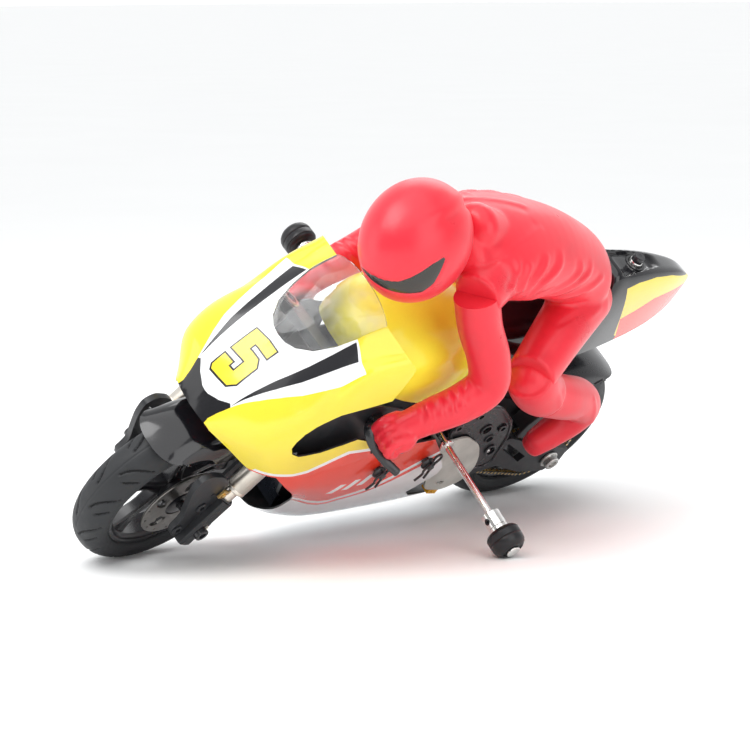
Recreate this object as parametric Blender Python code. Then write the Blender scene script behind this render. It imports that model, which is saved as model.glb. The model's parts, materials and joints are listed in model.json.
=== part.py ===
"""A one-fifth scale radio-controlled racing motorcycle with its rider, leaning on its left outrigger.

The bike is laid out upright in its own frame, in millimetres: x forward, y to the rider's left, z up, with the
origin on the ground under the rear axle. Empties carry the moving bodies, and the root empty leans the whole bike
until both tyres and the left outrigger roller stand on z = 0, with the bounding box's bottom centre at the origin.
"""
import bpy
import bmesh
import math
import numpy as np
from mathutils import Matrix, Vector

MM = 0.001
GAP = 0.35                    # clearance between pieces that touch

# Driving dimensions, in millimetres and degrees.
WHEELBASE = 282.0
REAR_R, REAR_WIDTH = 59.5, 36.0
FRONT_R, FRONT_WIDTH = 57.5, 25.0
REAR_RIM_R, FRONT_RIM_R = 41.0, 42.0
RAKE = 24.0                   # of the steering axis, from the vertical
YOKE_OFFSET = 6.0             # fork centre plane ahead of the steering axis
FORK_Y = 30.5                 # half the distance between the fork legs
FORK_TUBE_R, FORK_ROD_R = 6.2, 3.7
FORK_TRAVEL = 6.0
STEER_REST = 5.0              # the front wheel is stored turned slightly left
PIVOT_X, PIVOT_Z = 84.0, 66.0 # swingarm pivot and layshaft
ARM_Y, ARM_T = 28.0, 4.5      # inner face and thickness of the swingarm's arms
CHAIN_Y = 23.0
CHAIN_PITCH = 3.9
FRONT_TEETH, REAR_TEETH = 12, 36
SPUR_TEETH, PINION_TEETH = 30, 10
GEAR_MODULE = 1.0
OUTRIGGER_X, OUTRIGGER_Z = 140.0, 115.0
OUTRIGGER_Y = 117.0           # centre of each roller
ROLLER_R, ROLLER_L = 10.0, 13.0
PLATE_Y, PLATE_T = 14.0, 2.5  # inner face and thickness of the chassis side plates
SKIN = 1.5                    # wall of the painted body shells
POSTS = ((180.0, 101.0), (142.0, 101.0))   # x and z of the two cross rods that carry the belly
POST_R = 2.2

REAR_AXLE = Vector((0.0, 0.0, REAR_R))
FRONT_AXLE = Vector((WHEELBASE, 0.0, FRONT_R))
RAKE_R = math.radians(RAKE)
STEER_AXIS = Vector((-math.sin(RAKE_R), 0.0, math.cos(RAKE_R)))   # up the steering stem
STEER_FORE = Vector((math.cos(RAKE_R), 0.0, math.sin(RAKE_R)))    # ahead of it, square to it
LATERAL = Vector((0.0, 1.0, 0.0))
STEER_FOOT = FRONT_AXLE - STEER_FORE * YOKE_OFFSET
PITCH_REAR_R = CHAIN_PITCH / (2 * math.sin(math.pi / REAR_TEETH))
PITCH_FRONT_R = CHAIN_PITCH / (2 * math.sin(math.pi / FRONT_TEETH))
PIVOT = Vector((PIVOT_X, 0.0, PIVOT_Z))
SPUR_R = GEAR_MODULE * SPUR_TEETH / 2
PINION_R = GEAR_MODULE * PINION_TEETH / 2
MOTOR_ANGLE = math.radians(35)
MOTOR = PIVOT + Vector((math.cos(MOTOR_ANGLE), 0, math.sin(MOTOR_ANGLE))) * (SPUR_R + PINION_R + 0.3)
SHOCK_TOP = Vector((77.0, 0.0, 125.0))
SHOCK_FOOT = Vector((68.5, 0.0, 82.0))
SERVO_LEVEL = 121.0           # up the steering axis from its foot
SERVO_BACK = 42.0             # behind the steering axis
SERVO = STEER_FOOT + STEER_AXIS * SERVO_LEVEL - STEER_FORE * SERVO_BACK
TIE_ARM = 9.5                 # radius of the servo horn and of the upper yoke's arm


# ---------------------------------------------------------------- materials
COLOURS = {
    "tyre": ((0.035, 0.036, 0.04), 0.72, 0.0),
    "black_plastic": ((0.03, 0.03, 0.033), 0.45, 0.0),
    "gloss_black": ((0.012, 0.012, 0.015), 0.12, 0.0),
    "satin_steel": ((0.62, 0.6, 0.57), 0.32, 1.0),
    "dark_steel": ((0.25, 0.24, 0.23), 0.38, 1.0),
    "champagne": ((0.72, 0.68, 0.62), 0.35, 0.9),
    "yellow": ((0.95, 0.74, 0.02), 0.18, 0.0),
    "body_paint": ((0.95, 0.80, 0.03), 0.15, 0.0),
    "lower_paint": ((0.78, 0.05, 0.03), 0.2, 0.0),
    "clear": ((0.85, 0.87, 0.88), 0.08, 0.0),
    "vinyl_red": ((0.80, 0.03, 0.045), 0.42, 0.0),
    "visor": ((0.05, 0.05, 0.05), 0.2, 0.0),
    "grey_plate": ((0.52, 0.52, 0.50), 0.4, 0.2),
    "blue_pack": ((0.05, 0.13, 0.45), 0.4, 0.0),
    "circuit": ((0.05, 0.05, 0.06), 0.5, 0.0),
    "carbon": ((0.06, 0.06, 0.065), 0.35, 0.0),
}


def material(name):
    """One Principled material for each finish, made the first time it is asked for."""
    found = bpy.data.materials.get(name)
    if found:
        return found
    colour, roughness, metallic = COLOURS[name]
    made = bpy.data.materials.new(name)
    made.use_nodes = True
    shader = made.node_tree.nodes["Principled BSDF"]
    shader.inputs["Base Color"].default_value = (*colour, 1.0)
    shader.inputs["Roughness"].default_value = roughness
    shader.inputs["Metallic"].default_value = metallic
    return made


# ---------------------------------------------------------------- solids
def solid(verts, faces):
    """A temporary object of one closed mesh, in millimetres, with its faces turned outwards."""
    mesh = bpy.data.meshes.new("solid")
    mesh.from_pydata([tuple(v) for v in verts], [], [tuple(f) for f in faces])
    work = bmesh.new()
    work.from_mesh(mesh)
    bmesh.ops.remove_doubles(work, verts=work.verts, dist=0.001)
    bmesh.ops.recalc_face_normals(work, faces=work.faces)
    if work.calc_volume(signed=True) < 0:
        bmesh.ops.reverse_faces(work, faces=work.faces)
    work.to_mesh(mesh)
    work.free()
    made = bpy.data.objects.new("solid", mesh)
    bpy.context.scene.collection.objects.link(made)
    return made


def combine(base, tools, operation):
    """The base after a Boolean with each tool; the tools are used up."""
    for tool in tools:
        cut = base.modifiers.new("cut", "BOOLEAN")
        cut.operation = operation
        cut.object = tool
    graph = bpy.context.evaluated_depsgraph_get()
    result = bpy.data.meshes.new_from_object(base.evaluated_get(graph))
    base.modifiers.clear()
    base.data = result
    for tool in tools:
        bpy.data.objects.remove(tool, do_unlink=True)
    return base


def cut(base, *tools):
    return combine(base, tools, "DIFFERENCE")


def join(base, *tools):
    return combine(base, tools, "UNION")


def keep(base, *tools):
    return combine(base, tools, "INTERSECT")


def frame_of(direction):
    """Two unit vectors square to a direction."""
    along = Vector(direction).normalized()
    guide = Vector((0, 0, 1)) if abs(along.z) < 0.9 else Vector((1, 0, 0))
    side = along.cross(guide).normalized()
    return side, along.cross(side).normalized()


def ring(centre, side, up, radius_a, radius_b, count, turn=0.0):
    """Points of an ellipse."""
    steps = [turn + 2 * math.pi * i / count for i in range(count)]
    return [centre + side * (radius_a * math.cos(t)) + up * (radius_b * math.sin(t)) for t in steps]


def loft(sections, closed=False):
    """A solid through rings of equal length, capped at both ends or closed on itself."""
    count = len(sections[0])
    verts = [p for section in sections for p in section]
    faces = []
    last = len(sections) if closed else len(sections) - 1
    for i in range(last):
        a, b = i * count, (i + 1) % len(sections) * count
        for j in range(count):
            k = (j + 1) % count
            faces.append((a + j, a + k, b + k, b + j))
    if not closed:
        faces.append(tuple(range(count)))
        faces.append(tuple(range(len(verts) - count, len(verts))))
    return solid(verts, faces)


def turned(profile, centre=(0, 0, 0), axis=LATERAL, count=24):
    """A turned piece: profile is a closed loop of (distance along the axis, radius)."""
    centre, axis = Vector(centre), Vector(axis).normalized()
    side, up = frame_of(axis)
    sections = []
    for i in range(count):
        t = 2 * math.pi * i / count
        out = side * math.cos(t) + up * math.sin(t)
        sections.append([centre + axis * a + out * r for a, r in profile])
    return loft(sections, closed=True)


def rod(start, end, radius, count=16, end_radius=None):
    """A plain round bar or cone between two points."""
    start, end = Vector(start), Vector(end)
    side, up = frame_of(end - start)
    tip = radius if end_radius is None else end_radius
    return loft([ring(start, side, up, radius, radius, count), ring(end, side, up, tip, tip, count)])


def tube(start, end, outer, inner, count=20):
    """A round bar with a bore right through."""
    start, end = Vector(start), Vector(end)
    length = (end - start).length
    return turned([(0, inner), (length, inner), (length, outer), (0, outer)], start, end - start, count)


def slab(outline, y_low, y_high):
    """An outline in (x, z) given a thickness along y."""
    low = [Vector((x, y_low, z)) for x, z in outline]
    high = [Vector((x, y_high, z)) for x, z in outline]
    return loft([low, high])


def block(centre, size, along=(1, 0, 0), up=(0, 0, 1)):
    """A box whose length runs along one direction and whose height runs up another."""
    centre, along, up = Vector(centre), Vector(along).normalized(), Vector(up).normalized()
    side = up.cross(along)
    length, width, height = size
    corners = ((-1, -1), (1, -1), (1, 1), (-1, 1))
    base = [centre + side * (s * width / 2) + up * (u * height / 2) - along * length / 2 for s, u in corners]
    return loft([base, [p + along * length for p in base]])


def disc_points(centre, radius, count, start=0.0, sweep=2 * math.pi):
    """Points of a circle or an arc in the (x, z) plane."""
    last = count if sweep < 6.28 else count + 1
    steps = [start + sweep * i / max(1, last - 1) for i in range(count)]
    return [(centre[0] + radius * math.cos(t), centre[1] + radius * math.sin(t)) for t in steps]


def spline(points, count):
    """Evenly spaced points in parameter on a smooth curve through the given ones."""
    pts = [np.array(p, float) for p in points]
    pts = [2 * pts[0] - pts[1]] + pts + [2 * pts[-1] - pts[-2]]
    out = []
    for i in range(count):
        t = i / (count - 1) * (len(points) - 1)
        k = min(int(t), len(points) - 2)
        f = t - k
        a, b, c, d = pts[k:k + 4]
        out.append(0.5 * (2 * b + (c - a) * f + (2 * a - 5 * b + 4 * c - d) * f ** 2
                          + (3 * b - a - 3 * c + d) * f ** 3))
    return out


def skin(ribs, along, across, thickness=SKIN, lift=None):
    """A shell through ribs given from the centre line to the left edge, mirrored to the right.

    The ribs' points are joined by smooth curves both ways, and the wall grows inwards.
    """
    half = [spline(rib, across + 1) for rib in ribs]
    lines = [spline([rib[j] for rib in half], along + 1) for j in range(across + 1)]
    grid = np.array([[lines[abs(j)][i] * (1, 1 if j >= 0 else -1, 1) for j in range(-across, across + 1)]
                     for i in range(along + 1)])
    grid[:, across, 1] = 0.0
    du, dv = np.gradient(grid, axis=0), np.gradient(grid, axis=1)
    normal = np.cross(du, dv)
    normal /= np.maximum(np.linalg.norm(normal, axis=2, keepdims=True), 1e-9)
    centre = grid.reshape(-1, 3).mean(0)
    if np.sum(normal * (grid - centre)) < 0:
        normal = -normal
    if lift is not None:
        grid = grid + normal * np.array([[lift(p) for p in row] for row in grid])[..., None]
    inner = grid - normal * thickness
    rows, cols = grid.shape[:2]
    verts = list(grid.reshape(-1, 3)) + list(inner.reshape(-1, 3))
    base = rows * cols

    def at(i, j, layer):
        return layer * base + i * cols + j
    faces = []
    for i in range(rows - 1):
        for j in range(cols - 1):
            for layer in (0, 1):
                faces.append((at(i, j, layer), at(i, j + 1, layer), at(i + 1, j + 1, layer), at(i + 1, j, layer)))
    for i in range(rows - 1):
        for j in (0, cols - 1):
            faces.append((at(i, j, 0), at(i + 1, j, 0), at(i + 1, j, 1), at(i, j, 1)))
    for j in range(cols - 1):
        for i in (0, rows - 1):
            faces.append((at(i, j, 0), at(i, j + 1, 0), at(i, j + 1, 1), at(i, j, 1)))
    return solid(verts, faces)


def limb(stations, count=14, caps=3):
    """A soft, round-ended form along a spine: each station is (x, y, z, half width, half height)."""
    points = [Vector(s[:3]) for s in stations]
    sections = []
    last = len(points) - 1
    side = LATERAL
    for i, (point, station) in enumerate(zip(points, stations)):
        along = (points[min(i + 1, last)] - points[max(i - 1, 0)]).normalized()
        side = (side - along * side.dot(along)).normalized()
        up = side.cross(along).normalized()
        wide, high = station[3], station[4]
        if i in (0, last):
            reach = min(wide, high) * (-1 if i == 0 else 1)
            steps = [k * math.pi / 2 / (caps + 0.35) for k in range(caps + 1)]
            if i == 0:
                steps = steps[::-1]
            for t in steps:
                shift = along * (reach * math.sin(t) * 0.8)
                sections.append(ring(point + shift, side, up, wide * math.cos(t), high * math.cos(t), count))
        else:
            sections.append(ring(point, side, up, wide, high, count))
    return loft(sections)


def mirrored(points):
    """A half outline, from front to back, completed on the other side."""
    return points + [(x, -y) for x, y in reversed(points) if y > 0.01]


def upright(outline, z_low, z_high):
    """An outline in (x, y) given a height along z."""
    low = [Vector((x, y, z_low)) for x, y in outline]
    return loft([low, [p + Vector((0, 0, z_high - z_low)) for p in low]])


def toothed(teeth, profile, turn=0.0):
    """A wheel's outline in (x, z): the profile is one tooth as (part of the pitch, radius)."""
    points = []
    step = 2 * math.pi / teeth
    for i in range(teeth):
        for part, radius in profile:
            angle = turn + (i + part) * step
            points.append((radius * math.cos(angle), radius * math.sin(angle)))
    return points


def gear_outline(teeth, root, tip, turn=0.0):
    """A spur gear's outline, with tapered flat-topped teeth."""
    return toothed(teeth, ((-0.25, root), (-0.11, tip), (0.11, tip), (0.25, root)), turn)


def sprocket_outline(teeth, root, tip):
    """A chain sprocket's outline, with pointed teeth."""
    return toothed(teeth, ((-0.28, root), (0.0, tip), (0.28, root)))


def moved(outline, centre):
    return [(x + centre[0], z + centre[1]) for x, z in outline]


# ---------------------------------------------------------------- bodies and placing
class Body:
    """An empty that carries the nodes of one moving body; its place is on the body's joint axis."""

    def __init__(self, name, pivot, parent=None, turn=None):
        self.pivot = Vector(pivot)
        self.empty = bpy.data.objects.new(f"{name}_axis", None)
        bpy.context.scene.collection.objects.link(self.empty)
        self.empty.empty_display_size = 0.01
        if parent:
            self.empty.parent = parent.empty
            self.empty.location = (self.pivot - parent.pivot) * MM
        if turn is not None:
            self.empty.rotation_mode = "QUATERNION"
            self.empty.rotation_quaternion = turn


def place(made, name, body, finish, origin=None, smooth=35.0):
    """Names a finished solid, gives it its finish and puts it on its body."""
    origin = body.pivot if origin is None else Vector(origin)
    made.name = name
    made.data.name = name
    made.data.transform(Matrix.Scale(MM, 4) @ Matrix.Translation(-origin))
    made.data.materials.clear()
    made.data.materials.append(material(finish))
    made.data.shade_smooth()
    made.data.set_sharp_from_angle(angle=math.radians(smooth))
    made.location = (origin - body.pivot) * MM
    made.parent = body.empty
    return made


def up_fork(side, distance, ahead=0.0):
    """A point on a fork leg's centre line, measured up from the axle."""
    return FRONT_AXLE + STEER_AXIS * distance + STEER_FORE * ahead + LATERAL * (FORK_Y * side)


def up_stem(distance):
    return STEER_FOOT + STEER_AXIS * distance


# ---------------------------------------------------------------- wheels
def tyre(centre, radius, width, rim_r, count):
    """A tyre whose round crown runs down to two beads; its inner face sits on the rim."""
    half = width / 2
    crown = [(half * math.sin(t), radius - half * 0.85 * (1 - math.cos(t)))
             for t in np.radians(np.linspace(-78, 78, 7))]
    bead = rim_r + GAP
    profile = [(-half * 0.72, bead)] + crown + [(half * 0.72, bead)]
    return turned(profile, centre, LATERAL, count)


def rim(centre, rim_r, width, hub_r, hub_half, bore_r, spokes, count):
    """A barrel, a hub and broad spokes in one piece, with a bore for the axle."""
    half = width / 2 * 0.72
    barrel = [(-half, rim_r), (-half, rim_r - 2.2), (-half + 3, rim_r - 4.4), (half - 3, rim_r - 4.4),
              (half, rim_r - 2.2), (half, rim_r)]
    wheel = turned(barrel, centre, LATERAL, count)
    tools = [tube(Vector(centre) - LATERAL * hub_half, Vector(centre) + LATERAL * hub_half, hub_r, bore_r, 14)]
    for i in range(spokes):
        angle = 2 * math.pi * i / spokes + 0.3
        out = Vector((math.cos(angle), 0, math.sin(angle)))
        middle = Vector(centre) + out * ((hub_r + rim_r - 4) / 2)
        tools.append(block(middle, (rim_r - hub_r - 2.5, 5.0, 9.0), out, LATERAL))
    return join(wheel, *tools)


def front_wheel(body):
    centre = FRONT_AXLE
    place(tyre(centre, FRONT_R, FRONT_WIDTH, FRONT_RIM_R, 36), "front_tyre", body, "tyre")
    place(rim(centre, FRONT_RIM_R, FRONT_WIDTH, 8.0, 11.0, 3.0, 5, 24), "front_rim", body, "black_plastic")
    face = turned([(0, 9.5), (1.4, 9.5), (1.4, 24.8), (0, 24.8)], centre + LATERAL * 13.6, LATERAL, 24)
    holes = []
    for i in range(5):
        t = 2 * math.pi * i / 5
        spot = centre + Vector((math.cos(t), 0, math.sin(t))) * 15.5
        holes.append(rod(spot + LATERAL * 12, spot + LATERAL * 17, 3.2, 6))
    carrier = turned([(11.35, 3.0), (14.9, 3.0), (14.9, 10.0), (11.35, 8.5)], centre, LATERAL, 14)
    place(join(cut(face, *holes), carrier), "front_disc", body, "dark_steel")


def rear_wheel(body):
    centre = REAR_AXLE
    place(tyre(centre, REAR_R, REAR_WIDTH, REAR_RIM_R, 36), "rear_tyre", body, "tyre")
    place(rim(centre, REAR_RIM_R, REAR_WIDTH, 9.0, 14.0, 3.0, 5, 24), "rear_rim", body, "black_plastic")
    outline = sprocket_outline(REAR_TEETH, PITCH_REAR_R - 1.1, PITCH_REAR_R + 0.9)
    plate = slab(moved(outline, (centre.x, centre.z)), CHAIN_Y - 0.7, CHAIN_Y + 0.7)
    windows = []
    for i in range(6):
        t = 2 * math.pi * i / 6
        spot = centre + Vector((math.cos(t), 0, math.sin(t))) * 14.5
        windows.append(rod(spot + LATERAL * (CHAIN_Y - 3), spot + LATERAL * (CHAIN_Y + 3), 3.6, 6))
    hub = turned([(14.35, 3.0), (CHAIN_Y + 2, 3.0), (CHAIN_Y + 2, 8.5), (14.35, 8.5)], centre, LATERAL, 14)
    bore = rod(centre + LATERAL * 10, centre + LATERAL * 30, 4.0, 16)
    place(join(cut(plate, bore, *windows), hub), "rear_sprocket", body, "dark_steel")


# ---------------------------------------------------------------- front end
def steering(body):
    """Both yokes, the stem and the silver upper tubes, which turn together about the raked axis."""
    level_low, level_high = 82.0, 118.0
    for name, level, thick in (("yoke_lower", level_low, 7.0), ("yoke_upper", level_high, 5.0)):
        plate = block(up_stem(level) + STEER_FORE * (YOKE_OFFSET * 0.55), (17.0, FORK_Y * 2 + 4, thick),
                      STEER_FORE, STEER_AXIS)
        corners = []
        holes = []
        for side in (1, -1):
            foot = up_stem(level) + STEER_FORE * YOKE_OFFSET + LATERAL * (FORK_Y * side)
            half = STEER_AXIS * (thick / 2)
            corners.append(rod(foot - half * 1.15, foot + half * 1.15, FORK_TUBE_R + 3.2, 16))
            holes.append(rod(foot - half * 2, foot + half * 2, FORK_TUBE_R + GAP, 16))
        if name == "yoke_lower":
            stem = rod(up_stem(level), up_stem(level_high - 3.2), 3.0, 16)
            made = cut(join(plate, *corners, stem), *holes)
        else:
            lever = block(up_stem(SERVO_LEVEL - 2.5) + LATERAL * (TIE_ARM / 2), (6.0, TIE_ARM + 5.0, 2.6),
                          STEER_FORE, STEER_AXIS)
            made = cut(join(plate, *corners, lever), *holes)
        place(made, name, body, "black_plastic")
    for side, word in ((1, "left"), (-1, "right")):
        top = STEER_FORE * YOKE_OFFSET + LATERAL * (FORK_Y * side) + up_stem(level_high + 4)
        outer = tube(up_fork(side, 31.0), top, FORK_TUBE_R, FORK_ROD_R + GAP, 18)
        place(outer, f"fork_tube_{word}", body, "champagne", origin=up_fork(side, 31.0))


def fork_lower(side):
    """The black leg foot: a chamfered bar with a brake arm ahead of it and bosses for its bolts."""
    fore, axis = STEER_FORE, STEER_AXIS
    section = [(-5.2, -2.6), (-2.8, -5.0), (3.6, -5.0), (5.2, -3.2), (5.2, 3.2), (3.6, 5.0), (-2.8, 5.0), (-5.2, 2.6)]

    def level(distance):
        middle = up_fork(side, distance)
        return [middle + fore * a + LATERAL * (b * side) for a, b in section]
    leg = loft([level(-12.5), level(23.4)])
    inner = 18.5 if side > 0 else 20.0
    plate_y = (FORK_Y - inner) * -side
    outline = [(2.0, -11.0), (12.5, -10.0), (15.5, -4.0), (15.0, 6.0), (17.5, 14.0), (13.0, 22.0), (2.0, 21.0)]
    near = [up_fork(side, u) + fore * a + LATERAL * (plate_y * 0.35) for a, u in outline]
    arm = loft([near, [p + LATERAL * (4.0 * side) for p in near]])
    bosses = []
    for a, u in ((11.0, -5.5), (12.0, 13.5)):
        spot = up_fork(side, u) + fore * a
        bosses.append(tube(spot - LATERAL * (5.0 * side), spot + LATERAL * (2.6 * side), 3.4, 1.3, 10))
    made = join(leg, arm, *bosses)
    axle = rod(up_fork(side, 0) - LATERAL * 9, up_fork(side, 0) + LATERAL * 9, 2.5 + GAP, 12)
    socket = rod(up_fork(side, 10.0), up_fork(side, 26.0), FORK_ROD_R + GAP, 12)
    return cut(made, axle, socket)


def fork_sliders(body):
    """The pieces that rise with the front wheel: rods, feet, axle and mudguard."""
    for side, word in ((1, "left"), (-1, "right")):
        bar = rod(up_fork(side, 10.5), up_fork(side, 78.0), FORK_ROD_R, 12)
        place(bar, f"fork_rod_{word}", body, "champagne", origin=up_fork(side, 10.5))
        place(fork_lower(side), f"fork_lower_{word}", body, "black_plastic", origin=up_fork(side, 0))
    half = FORK_Y + 5.5
    axle = rod(FRONT_AXLE - LATERAL * half, FRONT_AXLE + LATERAL * half, 2.5, 12)
    heads = []
    for side in (1, -1):
        face = FRONT_AXLE + LATERAL * ((FORK_Y + 5.35) * side)
        heads.append(rod(face, face + LATERAL * (2.6 * side), 4.2, 6))
    place(join(axle, *heads), "front_axle", body, "satin_steel")
    guard = mudguard(FRONT_AXLE, FRONT_R + 4.0, 21.0, 50, 134, 8, 17.0)
    stays = []
    for side in (1, -1):
        bar = block(up_fork(side, 35.0) - LATERAL * (9.8 * side), (42.0, 2.2, 6.0), STEER_AXIS, STEER_FORE)
        foot = up_fork(side, 18.0)
        stays += [bar, rod(foot - LATERAL * (10.0 * side), foot - LATERAL * ((5.0 + GAP) * side), 2.8, 10)]
    place(join(guard, *stays), "front_fender", body, "gloss_black")


def mudguard(centre, radius, half_width, start, stop, steps, skirt):
    """A curved guard over a tyre: arch-shaped across, following a circle round the axle, with side skirts."""
    ribs = []
    for i in range(steps + 1):
        f = i / steps
        t = math.radians(start + (stop - start) * f)
        middle = 1 - (2 * f - 1) ** 2
        wide = half_width * (0.94 + 0.06 * middle)
        rib = []
        for j in range(5):
            s = j / 4
            drop = (7.0 + (skirt - 7.0) * middle) * s ** 2.4
            out = radius - drop
            rib.append((centre.x + out * math.cos(t), wide * math.sin(s * math.pi / 2), centre.z + out * math.sin(t)))
        ribs.append(rib)
    return skin(ribs, steps, 4, 1.4)


# ---------------------------------------------------------------- rear end
def swingarm(body):
    """Two deep side plates joined ahead of the tyre inside the chain's loop, with a lug for the shock."""
    outline = [(-14.0, 54.0), (-4.0, 46.5), (20.0, 50.0), (48.0, 61.5), (70.0, 56.5), (84.0, 57.0), (92.0, 62.0),
               (92.0, 70.0), (84.0, 74.5), (72.0, 80.0), (52.0, 88.0), (30.0, 79.0), (-14.0, 65.5)]
    arms = []
    for side in (1, -1):
        low, high = sorted((ARM_Y * side, (ARM_Y + ARM_T) * side))
        arms.append(slab(outline, low, high))
    bridge = block((65.2, 0, 64.5), (5.0, ARM_Y * 2 + 2, 12.5))
    lug = slab([(62.7, 66), (67.6, 66), (71.0, 80), (71.0, 84), (68.0, 86), (64.5, 83)], -6.5, 6.5)
    slot = block((68.0, 0, 82.0), (12, 8.0, 15.0))
    pin = rod(PIVOT - LATERAL * 32.9, PIVOT + LATERAL * 32.9, 2.5, 12)
    frame = join(arms[0], arms[1], bridge, lug, pin)
    tools = [slot]
    for side in (1, -1):
        middle = (ARM_Y + ARM_T / 2) * side
        window = [(25.0, 66.0), (28.5, 61.5), (53.0, 78.0), (50.5, 82.5)]
        tools.append(slab(window, middle - 4, middle + 4))
        tools.append(rod((0, middle - 4, REAR_R), (0, middle + 4, REAR_R), 2.5 + GAP, 12))
    tools.append(rod((68.5, -9, 82), (68.5, 9, 82), 1.0, 10))
    place(cut(frame, *tools), "swingarm", body, "black_plastic")


def rear_axle(body):
    half = ARM_Y + ARM_T
    bar = rod(REAR_AXLE - LATERAL * (half + 1), REAR_AXLE + LATERAL * (half + 1), 2.5, 12)
    nuts = []
    for side in (1, -1):
        face = REAR_AXLE + LATERAL * ((half + GAP) * side)
        nuts.append(rod(face, face + LATERAL * (1.4 * side), 6.2, 14))
        nuts.append(rod(face, face + LATERAL * (5.2 * side), 4.9, 6))
    place(join(bar, *nuts), "rear_axle", body, "satin_steel")


def chain(body):
    """The chain as a plain band around both sprockets, just clear of their teeth."""
    inner, outer = 1.3, 3.6
    front, rear = (PIVOT_X, PIVOT_Z), (0.0, REAR_R)
    gap_x, gap_z = front[0] - rear[0], front[1] - rear[1]
    line = math.atan2(gap_z, gap_x)
    spread = math.acos((PITCH_REAR_R - PITCH_FRONT_R) / math.hypot(gap_x, gap_z))

    def loop(extra):
        rear_turn = disc_points(rear, PITCH_REAR_R + extra, 16, line + spread, 2 * math.pi - 2 * spread)
        front_turn = disc_points(front, PITCH_FRONT_R + extra, 7, line - spread, 2 * spread)
        return rear_turn + front_turn
    rings = []
    for (x0, z0), (x1, z1) in zip(loop(inner), loop(outer)):
        rings.append([Vector((x0, CHAIN_Y - 1.9, z0)), Vector((x0, CHAIN_Y + 1.9, z0)),
                      Vector((x1, CHAIN_Y + 1.9, z1)), Vector((x1, CHAIN_Y - 1.9, z1))])
    place(loft(rings, closed=True), "chain", body, "dark_steel", origin=PIVOT)


def rear_hugger(body):
    """The guard over the rear tyre, carried by the swingarm on two stays."""
    guard = mudguard(REAR_AXLE, REAR_R + 5.5, 22.5, 50, 136, 8, 11.0)
    stays = []
    for side in (1, -1):
        near, far = sorted((19.6 * side, 31.5 * side))
        stays.append(slab([(33.0, 88.0), (45.0, 91.0), (43.0, 98.0), (36.0, 108.0), (30.0, 110.0)], near, far))
        near, far = sorted((28.4 * side, 31.5 * side))
        stays.append(slab([(34.0, 81.2), (46.0, 86.1), (45.0, 92.0), (34.0, 92.0)], near, far))
    place(join(guard, *stays), "rear_hugger", body, "black_plastic", origin=REAR_AXLE)


def shock(body, slide):
    """The damper: its body hangs from the chassis, its rod reaches to the swingarm's lug."""
    down = (SHOCK_FOOT - SHOCK_TOP).normalized()
    eye = turned([(-4.5, 2.1), (4.5, 2.1), (4.5, 4.2), (-4.5, 4.2)], SHOCK_TOP, LATERAL, 12)
    barrel = tube(SHOCK_TOP + down * 3.4, SHOCK_TOP + down * 22.0, 4.6, 2.0, 12)
    perch = tube(SHOCK_TOP + down * 6.0, SHOCK_TOP + down * 7.6, 8.0, 4.0, 16)
    neck = rod(SHOCK_TOP + down * 3.0, SHOCK_TOP + down * 5.0, 3.0, 12)
    place(join(eye, barrel, perch, neck), "shock_body", body, "dark_steel")
    rod_start = SHOCK_TOP + down * 12.0
    low = SHOCK_FOOT
    bar = rod(rod_start, low - down * 2.6, 1.6, 12)
    low_eye = turned([(-3.2, 1.6), (3.2, 1.6), (3.2, 3.4), (-3.2, 3.4)], low, LATERAL, 10)
    cup = tube(low - down * 6.2, low - down * 4.8, 8.0, 1.2, 16)
    place(join(bar, low_eye, cup), "shock_rod", slide, "satin_steel")
    coils, per_turn = 5, 8
    top, bottom = SHOCK_TOP + down * 9.0, low - down * 7.7
    side, up = frame_of(down)
    sections = []
    for i in range(coils * per_turn + 1):
        f = i / (coils * per_turn)
        t = 2 * math.pi * coils * f
        out = side * math.cos(t) + up * math.sin(t)
        middle = top + (bottom - top) * f + out * 6.6
        sections.append([middle + out * (0.9 * math.cos(a)) + down * (0.9 * math.sin(a))
                         for a in (math.pi / 4 + k * math.pi / 2 for k in range(4))])
    place(loft(sections), "shock_spring", slide, "satin_steel", origin=top)


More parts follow.
